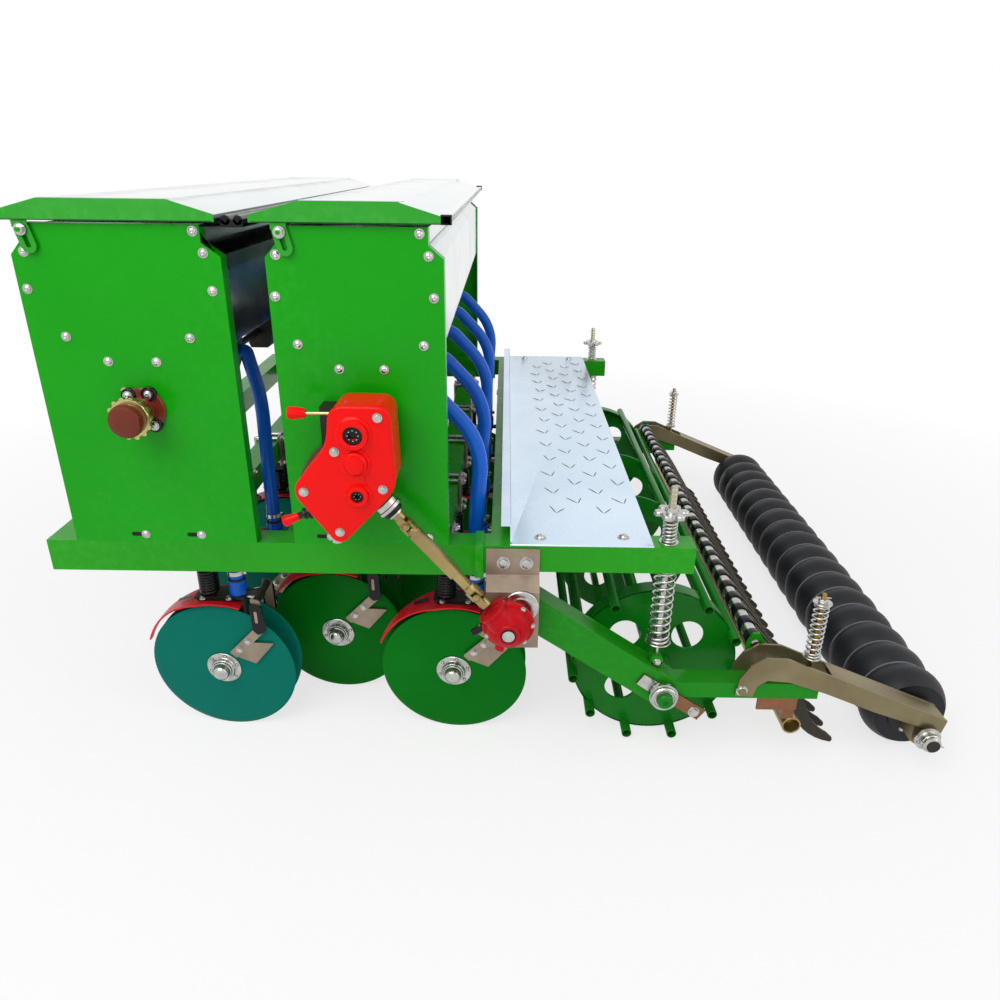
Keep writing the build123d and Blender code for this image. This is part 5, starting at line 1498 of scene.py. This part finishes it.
# spring rods, hand nuts and springs
coilLow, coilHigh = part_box("coil_springs")
rodLow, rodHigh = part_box("spring_rods")
springs = {"bigRadius": 0.022, "bigWire": 0.0028, "bigTurns": 11, "smallRadius": 0.0135,
           "smallWire": 0.0026, "smallTurns": 6, "rearRadius": 0.0150, "rearWire": 0.0023,
           "rearTurns": 11, "rod": 0.008, "stem": 0.0045, "rearRod": 0.006, "petals": 6}
springs["x"] = coilHigh.x - 0.0255
springs["rearX"] = coilLow.x + 0.0175
springs["clevis"] = cagePlace.z + 0.0686
springs["foot"] = springs["clevis"] + 0.050
springs["nut"] = beamTop + 0.067
springs["tailUnder"] = beamTop - 0.060
springs["rearFoot"] = coilLow.z
springs["rearHead"] = coilLow.z + 0.136
springs["rearTop"] = springs["rearHead"] + 0.024
springs["rearRodLow"] = rodLow.z


def addHandNut(bm):  # six round petals about a threaded boss, from its middle
    for petal in range(springs["petals"]):
        turn = math.tau * petal / springs["petals"]
        addSpin(bm, [(0, -0.0052), (0.0088, -0.0052), (0.0104, -0.0034), (0.0104, 0.0034),
                     (0.0088, 0.0052), (0, 0.0052)],
                (math.cos(turn) * 0.0262, math.sin(turn) * 0.0262, 0), steps=20)
    addSpin(bm, [(0.0085, -0.0125), (0.0135, -0.0125), (0.0145, -0.0110), (0.0150, -0.0060),
                 (0.0240, -0.0046), (0.0240, 0.0046), (0.0150, 0.0060), (0.0135, 0.0130),
                 (0.0122, 0.0140), (0.0085, 0.0140)], steps=32)


def buildSprings():
    bm = bmesh.new()
    threads = bmesh.new()
    front = [Vector((springs["x"], midY + side * (halfSpan - 0.030), 0)) for side in (1, -1)]
    rear = [Vector((springs["rearX"], midY + side * (halfSpan - 0.025), 0)) for side in (1, -1)]

    def at(places, z):
        return [Matrix.Translation(p + upward * z) for p in places]
    addHelix(bm, springs["tailUnder"] - springs["foot"] - 0.004, springs["bigRadius"],
             springs["bigWire"], springs["bigTurns"], at(front, springs["foot"] + 0.002), 8, 20)
    addHelix(bm, springs["nut"] - 0.0165 - beamTop, springs["smallRadius"],
             springs["smallWire"], springs["smallTurns"], at(front, beamTop + 0.002), 8, 16)
    addHelix(bm, springs["rearHead"] - springs["rearFoot"], springs["rearRadius"],
             springs["rearWire"], springs["rearTurns"], at(rear, springs["rearFoot"]), 8, 16)
    finishPiece(bm, "springs_finished", ("zinc",), nodes=("coil_springs",),
                sharp=60)
    bm = bmesh.new()
    lugs = bmesh.new()
    rearThreads = bmesh.new()
    for p in front:
        top = springs["nut"] + 0.060
        addRod(bm, p + upward * (springs["clevis"] + 0.004), p + upward * springs["foot"],
               springs["stem"], 18)
        addRod(bm, p + upward * (springs["foot"] - 0.002),
               p + upward * (springs["tailUnder"] + 0.030), springs["rod"], 24)
        addSpin(threads, [(springs["rod"], 0), (springs["rod"], top - beamTop - 0.004),
                          (springs["rod"] - 0.002, top - beamTop), (0, top - beamTop)],
                p + upward * beamTop, steps=24)
        # washers at the beam and at the foot of the spring
        for z, radius in ((beamTop, 0.021), (springs["tailUnder"] - 0.0024, 0.029),
                          (springs["foot"] - 0.0005, 0.029)):
            addSpin(bm, [(0.0086, 0), (radius - 0.0006, 0), (radius, 0.0006), (radius, 0.0018),
                         (radius - 0.0006, 0.0024), (0.0086, 0.0024)], p + upward * z, steps=32)
        # lug with its bolt on top of the arm
        lug = p + upward * springs["clevis"]
        addRod(lugs, lug + Vector((0, -0.014, 0.002)), lug + Vector((0, 0.014, 0.002)), 0.015, 20)
        addBlock(lugs, lug + Vector((-0.015, -0.014, -0.014)),
                 lug + Vector((0.015, 0.014, 0.003)))
        for side in (1, -1):
            addCopies(bm, hexBolt(0.0080), [placed(lug + alongY * side * 0.014, alongY * side)])
    addCopies(bm, addHandNut, at(front, springs["nut"]))
    for p in rear:
        head = springs["rearHead"]
        rearRod = springs["rearRod"]
        rodRun = springs["rearTop"] - springs["rearRodLow"]
        addSpin(rearThreads, [(rearRod, 0), (rearRod, rodRun - 0.003),
                              (rearRod - 0.0015, rodRun), (0, rodRun)],
                p + upward * springs["rearRodLow"], steps=20)
        for z, radius in ((head, 0.0205), (springs["rearFoot"] - 0.003, 0.0205)):
            addSpin(bm, [(0.0062, 0), (radius, 0), (radius, 0.0026), (0.0062, 0.0026)],
                    p + upward * z, steps=30)
        addRod(bm, p + upward * (head + 0.0026), p + upward * (head + 0.011), 0.0105, 6)
        addRod(bm, p + Vector((-0.016, 0.002, head + 0.0135)),
               p + Vector((0.017, -0.002, head + 0.0135)), 0.0016, 8)
    softenEdges(bm, 0.0006, 1, 50)
    finishPiece(bm, "spring_rods_finished", ("zinc",), nodes=("spring_rods",))
    finishPiece(threads, "rod_threads", ("threaded",))
    finishPiece(rearThreads, "rear_rod_threads", ("brassThread",))
    softenEdges(lugs, 0.002, 2)
    finishPiece(lugs, "spring_lugs", ("frameGreen",))


buildSprings()

# pivots, pins and slots of the rear arms
armLow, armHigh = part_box("rear_arms")
arms = {"pivot": (-0.600 + 0.0635, 0.220), "head": (-0.668 + 0.0635, 0.278)}


def buildArmFittings():
    bm = bmesh.new()
    for side in (1, -1):
        out = alongY * side
        near = midY + side * (halfSpan + 0.006)
        x, z = arms["pivot"]
        addCopies(bm, panBolt(0.0115), [placed((x, near, z), out)])
        # slot above the foot of the spring: a thin black block, painted shade for its dark opening
        addBlock(bm, (springs["rearX"] - 0.085, midY + side * (halfSpan - 0.036), 0.2440),
                 (springs["rearX"] - 0.040, midY + side * (halfSpan - 0.014), 0.2452), 1,
                 Matrix.Rotation(math.radians(-21), 4, "Y"))
    finishPiece(bm, "arm_fittings", ("zinc", "blackGloss"))


buildArmFittings()
print("rollers done")
